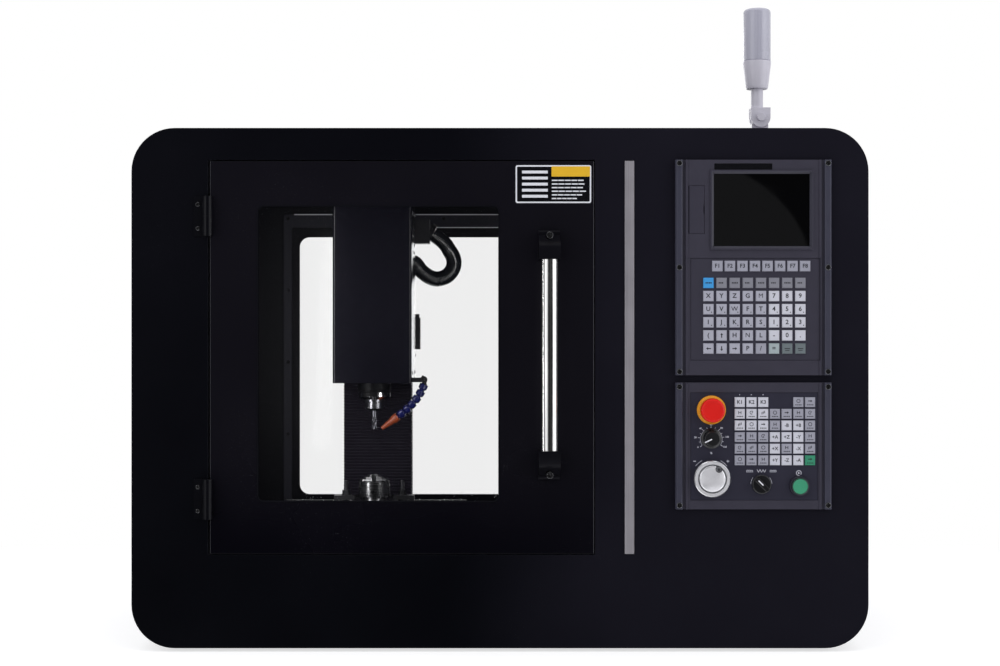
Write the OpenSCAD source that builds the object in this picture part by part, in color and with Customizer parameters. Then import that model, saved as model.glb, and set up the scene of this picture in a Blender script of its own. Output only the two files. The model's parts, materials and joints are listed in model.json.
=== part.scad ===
// Desktop CNC milling machine in a closed cabinet with a glazed door and a control panel.
// X runs to the right, Y to the back and Z up. The origin is on the ground, under the middle
// of the whole machine. A depth d is measured back from the outer face of the front panel,
// and a reach f forward from it.

/* [Cabinet] */
// Width of the cabinet
body_w = 1224; // [1180:1:1480]
// Height of the cabinet above its feet
body_h = 864; // [860:1:1060]
// Depth from the front panel's face to the rear panel's face
body_d = 780; // [760:1:960]
// Outer radius of the four long edges
corner_r = 72; // [40:1:90]
// Thickness of the wrapped skin, the rear panel and the inner sheets
skin_t = 2; // [1.5:0.1:3]
// Thickness of the front panel
front_t = 3; // [2:0.1:4]
// Height of the rubber feet
foot_h = 6; // [4:0.5:12]
// Diameter of the rubber feet
foot_d = 60; // [40:1:80]
// Place of the chamber's right wall, from the middle of the cabinet
partition_x = 165; // [163:1:190]

/* [Door] */
// Place of the hinge axis, from the middle of the cabinet
hinge_x = -484; // [-490:1:-470]
// Width of the door from the hinge axis to its free edge
door_w = 640; // [560:1:644]
// Height of the door
door_h = 652; // [600:1:680]
// Bottom edge of the door above the ground
door_z = 163; // [150:1:175]
// Depth of the door's folded edges
door_depth = 20; // [14:1:24]
// Gap round the door
door_gap = 2; // [1.5:0.1:3]
// Width of the window in the door
window_w = 400; // [300:1:440]
// Height of the window in the door
window_h = 490; // [400:1:520]
// Distance from the hinge axis to the window
window_inset = 82; // [60:1:100]
// Bottom edge of the window above the ground
window_z = 250; // [230:1:270]
// Corner radius of the window
window_r = 10; // [4:1:20]
// Thickness of the panes
pane_t = 5; // [3:0.5:8]
// Diameter of the hinge knuckles
knuckle_d = 16; // [12:1:18]
// Height of each hinge
hinge_h = 66; // [50:1:90]
// Diameter of the handle's tube
handle_d = 28; // [22:1:32]
// Length of the tube that shows between its mounts
handle_l = 312; // [250:1:360]
// How far the handle's mounts stand out from the door
handle_reach = 64; // [56:1:80]

/* [Mill] */
// Place of the spindle axis, from the middle of the cabinet
mill_x = -233; // [-240:1:-225]
// Depth of the spindle axis behind the front panel
spindle_depth = 315; // [300:1:330]
// Height of the chip tray's floor
tray_z = 48; // [40:1:56]
// Height of the base casting
base_h = 80; // [70:1:84]
// Height of every dovetail way
way_h = 14; // [10:1:16]
// Width of the dovetail ways at their wide side
way_w = 84; // [70:1:92]
// Running clearance in the dovetails
way_gap = 0.25; // [0.15:0.05:0.4]
// Width of the column
column_w = 112; // [104:1:124]
// Height of the column's top above the ground
column_top = 780; // [740:1:786]
// Length of the table
table_l = 340; // [280:1:360]
// Width of the table
table_w = 120; // [100:1:130]
// Diameter of the X and Y ball screws
screw_d = 12; // [10:1:16]
// Diameter of the Z ball screw
z_screw_d = 14; // [12:1:16]
// Side of the square axis motors
motor_side = 57; // [42:1:60]
// Length of the axis motors
motor_l = 70; // [50:1:76]

/* [Head] */
// Width of the head's sheet cover
cover_w = 144; // [130:1:150]
// Bottom edge of the cover above the ground, at rest
cover_z = 438; // [430:1:445]
// Height of the cover
cover_h = 332; // [300:1:340]
// Diameter of the spindle cartridge
cartridge_d = 61; // [50:1:66]
// Diameter of the spindle shaft
shaft_d = 30; // [24:1:34]
// Diameter of the cutter's shank
cutter_d = 10; // [6:1:12]
// Height of the cutter's tip above the ground, at rest
cutter_tip = 352; // [348:1:360]
// Outer diameter of the coolant hose's sockets
hose_d = 16; // [14:0.5:18]
// Length that each link of the coolant hose has beyond its two balls
hose_step = 0.2; // [0:0.2:4]

/* [Chuck] */
// Diameter of the three-jaw chuck
chuck_d = 58; // [50:1:64]
// Height of the chuck's body
chuck_h = 30; // [24:1:36]
// Bore through the chuck
chuck_bore = 16; // [10:1:18]
// Width of each jaw
jaw_w = 9.6; // [8:0.2:11]

/* [Control panel] */
// Left edge of the two control units, from the middle of the cabinet
unit_x = 290.5; // [285:1:296]
// Width of the two control units
unit_w = 259; // [255:1:270]
// Height of the display unit
display_h = 357; // [350:1:364]
// Bottom edge of the display unit above the ground
display_z = 459.5; // [456:0.5:464]
// Height of the operator unit
operator_h = 210; // [206:1:214]
// Bottom edge of the operator unit above the ground
operator_z = 237.4; // [230:0.1:240]
// Width of the display's glass
screen_w = 159; // [150:1:164]
// Height of the display's glass
screen_h = 120; // [110:1:124]
// Diameter of the handwheel
handwheel_d = 60; // [50:1:64]
// Diameter of the emergency stop's cap
estop_d = 40; // [32:1:44]
// Diameter of the start button's cap
start_d = 28; // [22:1:30]

/* [Tower lamp] */
// Place of the lamp's pole, from the middle of the cabinet
lamp_x = 474; // [440:1:500]
// Depth of the lamp behind the front panel
lamp_depth = 300; // [200:1:400]
// Diameter of the lamp's lens
lens_d = 50; // [40:1:56]
// Height of the lamp's lens
lens_h = 96; // [70:1:110]
// Diameter of the lamp's pole
pole_d = 22; // [18:1:26]

/* [Hidden] */
$fn = 64;
eps = 0.01;
seat = 0.2; // gap left where one piece seats on another
fit = 0.05; // radial running clearance of shafts and pins
rear_reach = 4.5; // how far the louvres stand behind the rear panel
half_w = body_w / 2;
front_y = (handle_reach + seat - body_d - rear_reach) / 2;
floor_z = foot_h + skin_t;
roof_z = foot_h + body_h;
rear_in = body_d - skin_t;                 // depth of the rear panel's inner face

// Door
door_x0 = hinge_x + 2.5;
door_x1 = hinge_x + door_w;
door_z1 = door_z + door_h;
leaf_t = 1.5;
hinge_f = knuckle_d / 2 + 0.3;             // the hinge axis stands this far in front of the panel
hinge_pin_d = 6;
hinge_zs = [door_z + 91.3, door_z1 - 92.1];
rebate_lip = 12;
window_x = hinge_x + window_inset;
handle_x = door_x1 - 75;
handle_z0 = door_z + (door_h - handle_l) / 2 + 4.5;
handle_f = handle_reach - 16;              // reach of the tube's axis
mount_w = 35;
mount_h = 50;
tube_socket = 12;

// Rear window
rear_win_w = 450;
rear_win_h = 549;
rear_win_x = window_x + window_w / 2 - rear_win_w / 2 - 1;
rear_win_z = 185;
rear_win_r = 21;
pane_margin = 40;
clamp_gap = 16;
clamp_w = 17;
rear_bar_gap = 20.5;                       // bar over the rear window
rear_bar_w = 27.5;

// Mill
mill_y = front_y + spindle_depth;
base_top = tray_z + base_h;
y_way_top = base_top + way_h;
saddle_w = 120;
saddle_top = y_way_top + 24;
x_way_top = saddle_top + way_h;
table_top = x_way_top + 35;
x_way_w = way_w - 10;
way_slope = way_h * tan(30);               // each side of a dovetail leans 30 degrees
slot_w = 34;                               // slot for a ball screw along a way
base_w = 190;
base_d0 = spindle_depth - 165;
base_d1 = base_d0 + 470;
leg_xs = [-75, 75];
leg_ds = [base_d0 + 50, base_d1 - 50];
leg_r = 22;
column_d0 = spindle_depth + 115;
column_d1 = column_d0 + 170;
z_way_z = table_top + 7;
y_screw_z = base_top - 10;
x_screw_z = x_way_top - 2;
z_screw_depth = column_d0 + 10;
y_wall = 15;                               // wall in front of the Y screw's channel
bracket_t = 8;

// Head
cover_d0 = spindle_depth - 55;
cover_d1 = cover_d0 + 134;
cover_t = 2;
cover_zt = cover_z + cover_h;
head_w = cover_w - 2 * cover_t - 2 * seat;
head_z = cover_z + 2;
arm_h = 122;
carriage_h = 240;
cartridge_z = cover_z - 31;
nut_d = 34;
nut_h = 16;
hose_y = mill_y - 12;
hose_x = mill_x + cover_w / 2 + 20;
hose_z = cover_z - 6;
hose_angles = [24, 32, 39, 45, 50, 53];    // lean of each link from straight down
nozzle_l = 34;
manifold_z = cover_z + 1;
ball_r = hose_d / 2 - 1.6;
ball_gap = 0.1;
ball_neck = ball_r * 0.656;
hose_pitch = 2 * ball_r + hose_step;

// Chuck
backplate_d = 88;
backplate_h = 6;
chuck_neck_h = 6;
chuck_z = table_top + backplate_h + chuck_neck_h;
chuck_top = chuck_z + chuck_h;
jaw_angles = [90, 210, 330];
clamp_x = 52;                              // distance of each clamp's stud from the chuck's axis

// Control panel
housing_f = 6;                             // reach of the housings' flat faces
recess_f = 4;                              // reach of the keypads' recess floor
pad_f = recess_f + 1.4;                    // reach of the keypads' flat skin
key_f = 8;                                 // reach of the keys' tops
box_depth = 56;
box_margin = 12;
screen_x = unit_x + 64;
screen_z = display_z + 214;
bezel = 6;
keys_z1 = display_z + 193.5;                             // upper edge of the display unit's key recess
keys_z0 = display_z + 24.5;
usb_x = unit_x + 21.5;
usb_z = display_z + 234.1;
usb_w = 27;
usb_h = 80.4;
usb_pin_r = 1.5;
usb_axis_x = usb_x + 2.8;
usb_axis_f = 4;
control_x = unit_x + 59.5;                           // emergency stop, feed knob and handwheel
estop_z = operator_z + 164.6;
feed_z = operator_z + 117.6;
handwheel_z = operator_z + 51.6;
selector_x = unit_x + 142.5;
selector_z = operator_z + 41.6;
start_x = unit_x + 205.5;
start_z = operator_z + 38.6;
collar_r = 24;
// X, Z, width and height of the operator unit's recess
op_recess = [unit_x + 24.9, operator_z + 14.9, 211.5, 178.6];

// Tower lamp
pivot_x = lamp_x + 5;
pivot_z = roof_z + 56;
lug_r = 15;
lug_t = 10;
ear_r = 18;
ear_t = 8;
pole_z = roof_z + 74;
lamp_base_z = roof_z + 109;
lens_z = roof_z + 160;

// Mains inlet
inlet_x = 470;
inlet_z = 118;
inlet_w = 32;
inlet_h = 56;
rocker_z = inlet_z + 42;

// Louvres of the rear panel, in two columns beside the window
louvre_l = 110;
louvre_pitch = 18;
louvre_n = 9;
louvre_xs = [250, 430];
louvre_z = 620;

// Drives in the cabinet's dry side
drive_size = [130, 50, 160];
drive_pitch = 62;

// Cable conduit between the column's side and the head
conduit_d = 30;
gland_l = 9;
gland_a = [mill_x + column_w / 2 + 40, front_y + column_d0 + 19, column_top - 56];
gland_b = [mill_x + column_w / 2 - 0.5, front_y + column_d0 - 19, column_top - 111];
gland_a_turn = 115;
gland_b_turn = 114;
// Points from the column's upper front edge on that side
conduit_mid = [
    [63.1, 18, -71], [72, 16.5, -80], [78.5, 15, -90.3], [83, 12.8, -96.6], [85.8, 10.4, -102.6],
    [87.8, 7.6, -109], [88.4, 4.8, -115.6], [87.6, 1.8, -122.6], [85.2, -1, -129],
    [80.8, -3.8, -135.8], [74.6, -6.4, -141.4], [66.6, -9.2, -145.6], [57.5, -11.6, -147],
    [49.4, -13.8, -146.2], [42.3, -15.6, -143.4], [34.2, -17.4, -138.4], [27.1, -18.4, -132.3]];

// Bellows over the Z way
pleat = 5.6;
bellows_w = 130;
bellows_d0 = column_d0 - 33;

// T-slots of the table
slot_throat = 10;
slot_head = 17;
slot_head_h = 7;
slot_depth = 15;
slot_ys = [-38, 0, 38];

// Guide of each chuck jaw
jaw_t_w = jaw_w + 4;
jaw_t_h = 4;
jaw_depth = 9;

// ---------------------------------------------------------------- shared shapes

// Sheet or block standing across the machine: the outline is drawn in X and Z
module upright(d, t) {
    translate([0, front_y + d + t, 0]) rotate([90, 0, 0]) linear_extrude(t) children();
}

// The same for a piece on the front, from reach f0 to reach f1 in front of the panel
module proud(f0, f1) {
    upright(-f1, f1 - f0) children();
}

// Prism along X: the outline is drawn in depth and Z
module along_x(x, l) {
    translate([x, front_y, 0]) rotate([90, 0, 90]) linear_extrude(l) children();
}

// Block between two X values, two depths and two heights
module block(x0, x1, d0, d1, z0, z1) {
    translate([x0, front_y + d0, z0]) cube([x1 - x0, d1 - d0, z1 - z0]);
}

// Cylinder along Y on the point x, z, from reach f0 to reach f1
module rod_y(x, z, r, f0, f1) {
    translate([x, front_y - f0, z]) rotate([90, 0, 0]) cylinder(r = r, h = f1 - f0);
}

module rounded_rect(x, z, w, h, r) {
    translate([x, z]) {
        translate([r, 0]) square([w - 2 * r, h]);
        translate([0, r]) square([w, h - 2 * r]);
        for (cx = [r, w - r], cz = [r, h - r]) translate([cx, cz]) circle(r = r);
    }
}

// Outline of the cabinet, seen from the front, moved inwards by inset
module cabinet_outline(inset) {
    rounded_rect(-half_w + inset, foot_h + inset, body_w - 2 * inset, body_h - 2 * inset,
        corner_r - inset);
}

// Dovetail section: the narrow side lies on the X axis and the wide side way_h above it
module dovetail(wide, grow = 0) {
    half = wide / 2 + grow;
    foot = wide / 2 - way_slope + grow;
    polygon([[-foot, -grow], [-half, way_h + grow], [half, way_h + grow], [foot, -grow]]);
}

// ---------------------------------------------------------------- cabinet

module outer_skin() {
    color([0.05, 0.05, 0.07])
    upright(front_t + seat, rear_in - front_t - 2 * seat) difference() {
        cabinet_outline(0);
        cabinet_outline(skin_t);
    }
}

module door_opening(grow = 0) {
    x0 = hinge_x - 1 - grow;
    z0 = door_z - door_gap - grow;
    translate([x0, z0])
        square([door_x1 + door_gap + grow - x0, door_h + 2 * door_gap + 2 * grow]);
}

// Cut-out for the box behind a control unit
module unit_cutout(z, h) {
    translate([unit_x + box_margin - 1, z + box_margin - 1])
        square([unit_w - 2 * box_margin + 2, h - 2 * box_margin + 2]);
}

module front_panel() {
    lip_d = door_depth + 0.6;
    color([0.05, 0.05, 0.07]) {
        difference() {
            union() {
                upright(0, front_t) cabinet_outline(0);
                upright(front_t - eps, lip_d + skin_t - front_t + eps) door_opening(skin_t);
            }
            upright(-1, lip_d + 1) door_opening();
            upright(0, lip_d + skin_t + 1) door_opening(-rebate_lip);
            upright(-1, front_t + 2) {
                unit_cutout(display_z, display_h);
                unit_cutout(operator_z, operator_h);
            }
        }
    }
}

module louvre_places() {
    for (x = louvre_xs, i = [0 : louvre_n - 1])
        translate([x, 0, louvre_z + i * louvre_pitch]) children();
}

module rear_panel() {
    out = body_d + rear_reach;
    color([0.05, 0.05, 0.07])
    difference() {
        union() {
            upright(rear_in, skin_t) cabinet_outline(0);
            louvre_places() along_x(0, louvre_l) polygon([
                [body_d - 1, 0], [out, 0], [out, 1.5], [body_d + 0.5, 8.5], [body_d - 1, 8.5]]);
        }
        louvre_places() along_x(1, louvre_l - 2) polygon([
            [rear_in - 1, -1], [out - 1, -1], [out - 1, 1.1], [body_d - 0.5, 7.3],
            [rear_in - 1, 7.3]]);
        upright(rear_in - 1, skin_t + 2) {
            rounded_rect(rear_win_x, rear_win_z, rear_win_w, rear_win_h, rear_win_r);
            translate([inlet_x - inlet_w / 2 + 3, inlet_z - 2]) square([inlet_w - 6, inlet_h]);
        }
    }
}

module rear_window() {
    color([0.8, 0.85, 0.9, 0.4])
    upright(rear_in - seat - pane_t, pane_t)
        rounded_rect(rear_win_x - pane_margin, rear_win_z - pane_margin,
            rear_win_w + 2 * pane_margin, rear_win_h + 2 * pane_margin, 8);
}

module rear_window_frame() {
    color([0.12, 0.12, 0.14])
    upright(rear_in - 2 * seat - pane_t - 3, 3) difference() {
        grow = clamp_gap + clamp_w;
        rounded_rect(rear_win_x - grow, rear_win_z - grow, rear_win_w + 2 * grow,
            rear_win_h + grow + rear_bar_gap + rear_bar_w, 6);
        rounded_rect(rear_win_x - clamp_gap, rear_win_z - clamp_gap, rear_win_w + 2 * clamp_gap,
            rear_win_h + clamp_gap + rear_bar_gap, 4);
    }
}

module partition() {
    flange = 18;
    color([0.07, 0.07, 0.09])
    translate([partition_x, front_y, floor_z + seat])
    linear_extrude(roof_z - skin_t - floor_z - 2 * seat) {
        translate([0, front_t + seat]) square([flange, skin_t]);
        translate([0, front_t + seat]) square([skin_t, rear_in - front_t - 2 * seat]);
        translate([0, rear_in - seat - skin_t]) square([flange, skin_t]);
    }
}

// Folded pan on two long legs, with a raised edge to each side and room for the mill's legs
module chip_tray() {
    x0 = -half_w + 11;
    x1 = partition_x - seat;
    d0 = front_t + 3;
    d1 = rear_in - pane_t - 6;
    leg_x = [-half_w + corner_r + 8, partition_x - 40];
    color([0.1, 0.1, 0.12])
    difference() {
        union() {
            block(x0, x1, d0, d1, tray_z - skin_t, tray_z);
            block(x0, x0 + skin_t, d0, d1, tray_z - skin_t, tray_z + 60);
            block(x1 - skin_t, x1, d0, d1, tray_z - skin_t, tray_z + 60);
            block(x0, x1, d0, d0 + skin_t, tray_z - skin_t, tray_z + 100);
            block(x0, x1, d1 - skin_t, d1, tray_z - skin_t, tray_z + 60);
            for (x = leg_x) {
                block(x, x + skin_t, d0, d1, floor_z + seat, tray_z);
                block(x, x + 20, d0, d1, floor_z + seat, floor_z + seat + skin_t);
            }
        }
        for (x = leg_xs, d = leg_ds) translate([mill_x + x, front_y + d, floor_z])
            cylinder(r = leg_r + 1, h = tray_z);
    }
}

module feet() {
    places = [
        for (x = [-half_w + 110, half_w - 110], d = [90, body_d - 90]) [x, d],
        for (d = leg_ds) [mill_x, d]];
    color([0.08, 0.08, 0.08])
    for (p = places) translate([p[0], front_y + p[1], 0]) rotate_extrude()
        polygon([[0, 0], [foot_d / 2 - 2, 0], [foot_d / 2, 2], [foot_d / 2, foot_h - seat],
            [0, foot_h - seat]]);
}

// ---------------------------------------------------------------- rear and cabinet fittings

module mains_inlet() {
    z0 = inlet_z - 6;
    color([0.1, 0.1, 0.1])
    difference() {
        union() {
            upright(body_d + seat, 2.3) rounded_rect(inlet_x - inlet_w / 2, z0, inlet_w,
                inlet_h + 8, 3);
            upright(body_d - 26, 26 + 2 * seat) rounded_rect(inlet_x - inlet_w / 2 + 3.5,
                inlet_z - 1.5, inlet_w - 7, inlet_h - 1, 2);
        }
        upright(body_d - 18, 24) translate([inlet_x - 9, inlet_z + 3]) square([18, 24]);
        upright(body_d - 12, 18) translate([inlet_x - 9.5, rocker_z - 10]) square([19, 20]);
        translate([inlet_x - 11, front_y + body_d - 4, rocker_z]) rotate([0, 90, 0])
            cylinder(r = 1.5 + fit, h = 22);
    }
    // Contact pins of the socket
    color("silver") for (p = [[-5, 18], [5, 18], [0, 9]])
        block(inlet_x + p[0] - 1, inlet_x + p[0] + 1, body_d - 18 - eps, body_d - 4,
            inlet_z + p[1] - 2, inlet_z + p[1] + 2);
}

module mains_rocker() {
    color([0.75, 0.1, 0.08]) {
        along_x(inlet_x - 9, 18) polygon([
            [body_d - 4, rocker_z - 7], [body_d + 2, rocker_z - 7.5], [body_d + 4.5, rocker_z - 4],
            [body_d + 2.8, rocker_z], [body_d + 2.8, rocker_z + 7.5], [body_d - 4, rocker_z + 7],
            [body_d - 6, rocker_z]]);
        translate([inlet_x - 10.8, front_y + body_d - 4, rocker_z]) rotate([0, 90, 0])
            cylinder(r = 1.5, h = 21.6);
    }
}

// Three axis drives and the power supply, screwed to the chamber wall inside the cabinet
module drive_units() {
    x0 = partition_x + skin_t + seat;
    color([0.35, 0.36, 0.38]) {
        for (i = [0 : 2]) translate([x0, front_y + 300 + i * drive_pitch, 560]) {
            difference() {
                cube(drive_size);
                for (k = [0 : 5]) translate([18 + k * 18, -1, 8])
                    cube([6, 9, drive_size[2] - 16]);
                translate([drive_size[0] - 10, 8, 12]) cube([11, drive_size[1] - 16, 40]);
            }
        }
        translate([x0, front_y + 330, 400]) difference() {
            cube([50, 110, 100]);
            translate([42, 8, -1]) cube([9, 94, 14]);
        }
    }
}

// ---------------------------------------------------------------- door

module hinge_frame_leaves() {
    color([0.07, 0.07, 0.08])
    for (z = hinge_zs) translate([hinge_x, front_y - hinge_f, z]) {
        difference() {
            union() {
                translate([-24, hinge_f - 2.6 - seat, -hinge_h / 2]) cube([24, 2.6, hinge_h]);
                translate([0, 0, -hinge_h / 2]) cylinder(d = knuckle_d, h = hinge_h / 2 - seat);
            }
            translate([0, 0, -seat])
                cylinder(d = knuckle_d + 0.6, h = hinge_h / 2 + 1);
            for (dz = [-20, 20]) translate([-17, hinge_f, dz]) rotate([90, 0, 0])
                cylinder(r = 2.3, h = 8);
        }
        cylinder(d = hinge_pin_d, h = hinge_h / 2 - 3);
        translate([0, 0, -10]) cylinder(d = hinge_pin_d, h = 10);
    }
}

module hinge_door_leaves() {
    color([0.07, 0.07, 0.08])
    for (z = hinge_zs) translate([hinge_x, front_y - hinge_f, z]) difference() {
        union() {
            cylinder(d = knuckle_d, h = hinge_h / 2);
            translate([2.5 - seat - leaf_t, 0, 0])
                cube([leaf_t, hinge_f + door_depth - 3, hinge_h / 2]);
        }
        translate([0, 0, -1]) cylinder(r = hinge_pin_d / 2 + fit, h = hinge_h / 2 - 1.5);
    }
}

module door_outline(inset = 0) {
    translate([door_x0 + inset, door_z + inset])
        square([door_x1 - door_x0 - 2 * inset, door_h - 2 * inset]);
}

module door_panel() {
    color([0.05, 0.05, 0.07])
    difference() {
        upright(0, door_depth) door_outline();
        upright(skin_t, door_depth) door_outline(skin_t);
        upright(-1, skin_t + 2) rounded_rect(window_x, window_z, window_w, window_h, window_r);
    }
}

module door_window() {
    grow = 24;
    color([0.75, 0.8, 0.85, 0.35])
    upright(skin_t + seat, pane_t)
        rounded_rect(window_x - grow, window_z - grow, window_w + 2 * grow,
            window_h + 2 * grow, 6);
}

module handle_tube() {
    color([0.75, 0.75, 0.76])
    translate([handle_x, front_y - handle_f, handle_z0 - tube_socket + seat]) difference() {
        cylinder(d = handle_d, h = handle_l + 2 * tube_socket - 2 * seat);
        translate([0, 0, -1]) cylinder(d = handle_d - 4, h = handle_l + 2 * tube_socket + 2);
    }
}

// Side outline of a mount, in reach and height from the tube's end outwards
module mount_outline() {
    polygon([[0, 0], [handle_reach, 0], [handle_reach, mount_h * 0.4],
        [handle_reach - 3, mount_h * 0.5], [handle_reach - 10, mount_h * 0.58],
        [18, mount_h * 0.84], [18, mount_h - 5], [0, mount_h - 5]]);
    translate([13, mount_h - 5]) circle(r = 5);
    square([13, mount_h]);
}

module handle_mount() {
    translate([-mount_w / 2, 0, 0]) rotate([90, 0, 90]) linear_extrude(mount_w)
        mirror([1, 0]) mount_outline();
}

module handle_mounts() {
    color([0.06, 0.06, 0.07])
    for (up = [0, 1]) translate([handle_x, front_y - seat, handle_z0 + up * handle_l])
    mirror([0, 0, 1 - up]) difference() {
        handle_mount();
        translate([0, seat - handle_f, -1]) cylinder(r = handle_d / 2 + 0.1,
            h = tube_socket + 1);
        translate([0, 1, mount_h - 11]) rotate([90, 0, 0]) cylinder(r = 3.3, h = 60);
        translate([0, -10, mount_h - 11]) rotate([90, 0, 0]) cylinder(r = 6, h = 60);
    }
}

module trim_strip() {
    color([0.5, 0.5, 0.51])
    proud(seat, 2.2 + seat) translate([door_x1 + 51, door_z]) square([15.6, door_h]);
}

// ---------------------------------------------------------------- mill

module base_casting() {
    color([0.16, 0.17, 0.19])
    difference() {
        union() {
            block(mill_x - base_w / 2, mill_x + base_w / 2, base_d0, base_d1, tray_z + seat,
                base_top);
            translate([mill_x, front_y + column_d0 - 5, base_top]) rotate([90, 0, 0])
                linear_extrude(column_d0 - 5 - base_d0) dovetail(way_w);
            for (x = leg_xs, d = leg_ds) translate([mill_x + x, front_y + d, floor_z + seat])
                cylinder(r = leg_r, h = tray_z - floor_z + 5);
        }
        // Slot for the Y screw and its nut
        block(mill_x - slot_w / 2, mill_x + slot_w / 2, base_d0 + y_wall, column_d0 + 1,
            base_top - 28, y_way_top + 1);
        // Hollow under the casting, in two bays beside the slot
        for (side = [-1, 1]) translate([mill_x + side * 51, 0, 0])
            block(-30, 30, base_d0 + 76, base_d1 - 76, tray_z - 5, base_top - 14);
        translate([mill_x, front_y + base_d0 - 1, y_screw_z]) rotate([-90, 0, 0])
            cylinder(r = screw_d / 2 + fit, h = y_wall + 2);
    }
}

module column_casting() {
    foot = 22;
    half = column_w / 2;
    windows = [[175, 150], [345, 150], [515, 150]];
    color([0.13, 0.14, 0.16])
    difference() {
        union() {
            block(mill_x - half, mill_x + half, column_d0, column_d1, base_top + seat,
                column_top);
            block(mill_x - half - 18, mill_x + half + 18, column_d0 + 4, column_d1 + 12,
                base_top + seat, base_top + foot);
            translate([mill_x, front_y + column_d0, z_way_z]) rotate([0, 0, 180])
                linear_extrude(column_top - z_way_z) dovetail(way_w);
        }
        // Slot for the Z screw and its nut
        block(mill_x - slot_w / 2, mill_x + slot_w / 2, column_d0 - way_h - 1,
            z_screw_depth + 16, z_way_z, column_top - 12);
        translate([mill_x, front_y + z_screw_depth, z_way_z - 12])
            cylinder(r = z_screw_d / 2 + fit, h = column_top);
        // Three bays in the open back of the casting
        for (w = windows) block(mill_x - half + 12, mill_x + half - 12, column_d0 + 60,
            column_d1 + 1, w[0], w[0] + w[1]);
    }
}

// Square servo motor with its shaft end at the origin and its body along +Z
module motor_body() {
    side = motor_side;
    linear_extrude(6) rounded_rect(-side / 2, -side / 2, side, side, 4);
    translate([0, 0, 5]) linear_extrude(motor_l - 22)
        rounded_rect(-side / 2 + 2, -side / 2 + 2, side - 4, side - 4, 8);
    translate([0, 0, motor_l - 18]) linear_extrude(18)
        rounded_rect(-side / 2 + 4, -side / 2 + 4, side - 8, side - 8, 6);
    translate([-9, side / 2 - 6, motor_l - 30]) cube([18, 14, 16]);
}

module axis_motors() {
    color([0.1, 0.1, 0.11]) {
        translate([mill_x, front_y + base_d0 - seat, y_screw_z]) rotate([90, 0, 0])
            motor_body();
        translate([mill_x, front_y + z_screw_depth, column_top + seat]) motor_body();
    }
}

module z_limit_switch() {
    x0 = mill_x + column_w / 2 + seat;
    color([0.05, 0.05, 0.06]) {
        block(x0, x0 + 22.6, column_d0 + 5, column_d0 + 33, 498, 559);
        block(x0, x0 + 20.6, column_d0 + 5, column_d0 + 33, 558, 566);
        block(x0 + 1, x0 + 8, column_d0 + 12, column_d0 + 26, 485, 499);
        translate([x0 + 3, front_y + column_d0 + 19, 486.7]) rotate([0, 90, 0])
            cylinder(r = 2.8, h = 11);
    }
}

// Screwed gland that holds one end of the conduit; its axis leans turn degrees from up to right
module gland(p, turn) {
    translate(p) rotate([0, turn, 0]) {
        cylinder(r = conduit_d / 2 + 2.5, h = gland_l);
        cylinder(r = conduit_d / 2 + 4.5, h = 4, $fn = 6);
    }
}
function gland_end(p, turn, l) = p + l * [sin(turn), 0, cos(turn)];

module conduit_bracket() {
    x0 = mill_x + column_w / 2 + seat;
    color([0.08, 0.08, 0.09]) {
        block(x0, gland_a[0] + 1, column_d0 + 2, column_d0 + 36, 702, 748);
        gland(gland_a, gland_a_turn);
    }
}

function place(p) = [p[0], front_y + p[1], p[2]];
function unit(v) = v / norm(v);
function tangent(pts, i) = unit(pts[min(i + 1, len(pts) - 1)] - pts[max(i - 1, 0)]);

// Tube of radius r swept along a list of points
module swept_tube(pts, r, sides = 10) {
    n = len(pts);
    up = [0.2, 1, 0.1];
    rings = [for (i = [0 : n - 1]) let (t = tangent(pts, i), a = unit(cross(up, t)),
        b = cross(t, a)) for (k = [0 : sides - 1])
        pts[i] + r * (cos(360 * k / sides) * a + sin(360 * k / sides) * b)];
    walls = [for (i = [0 : n - 2], k = [0 : sides - 1]) let (m = (k + 1) % sides)
        [i * sides + k, i * sides + m, (i + 1) * sides + m, (i + 1) * sides + k]];
    polyhedron(points = rings, faces = concat([[for (k = [0 : sides - 1]) k]],
        [for (w = walls) [w[3], w[2], w[1], w[0]]],
        [[for (k = [sides - 1 : -1 : 0]) (n - 1) * sides + k]]));
}

module cable_conduit() {
    a = [for (l = [0.3, 8]) gland_end(gland_a, gland_a_turn, gland_l + l)];
    b = [for (l = [8, 0.3]) gland_end(gland_b, gland_b_turn, gland_l + l)];
    from = [mill_x + column_w / 2, column_d0, column_top];
    route = concat(a, [for (p = conduit_mid) place(from + p)], b);
    color([0.04, 0.04, 0.05]) swept_tube(route, conduit_d / 2);
}

// Pleated cover of the Z way, from the table's height up to the head
module z_bellows() {
    z0 = z_way_z;
    z1 = head_z - seat;
    n = floor((z1 - z0 - 8) / pleat);
    front = [for (i = [0 : 2 * n]) [bellows_d0 + (i % 2 == 0 ? 4 : 0), z0 + 4 + i * pleat / 2]];
    back = [for (i = [2 * n : -1 : 0])
        [bellows_d0 + 2 + (i % 2 == 0 ? 4 : 0), z0 + 4 + i * pleat / 2]];
    way_d = column_d0 - way_h - seat;
    color([0.05, 0.05, 0.06]) {
        along_x(mill_x - bellows_w / 2, bellows_w) polygon(concat(front, back));
        block(mill_x - bellows_w / 2, mill_x + bellows_w / 2, bellows_d0, way_d, z0, z0 + 4.5);
        block(mill_x - bellows_w / 2, mill_x + bellows_w / 2, bellows_d0, way_d,
            z0 + 3.5 + n * pleat, z1);
    }
}

// ---------------------------------------------------------------- saddle and table

// Groove that runs on a dovetail way
module way_groove(wide, length) {
    linear_extrude(length, center = true) {
        dovetail(wide, way_gap);
        translate([-wide / 2 + way_slope - way_gap, -5])
            square([wide - 2 * way_slope + 2 * way_gap, 6]);
    }
}

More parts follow.
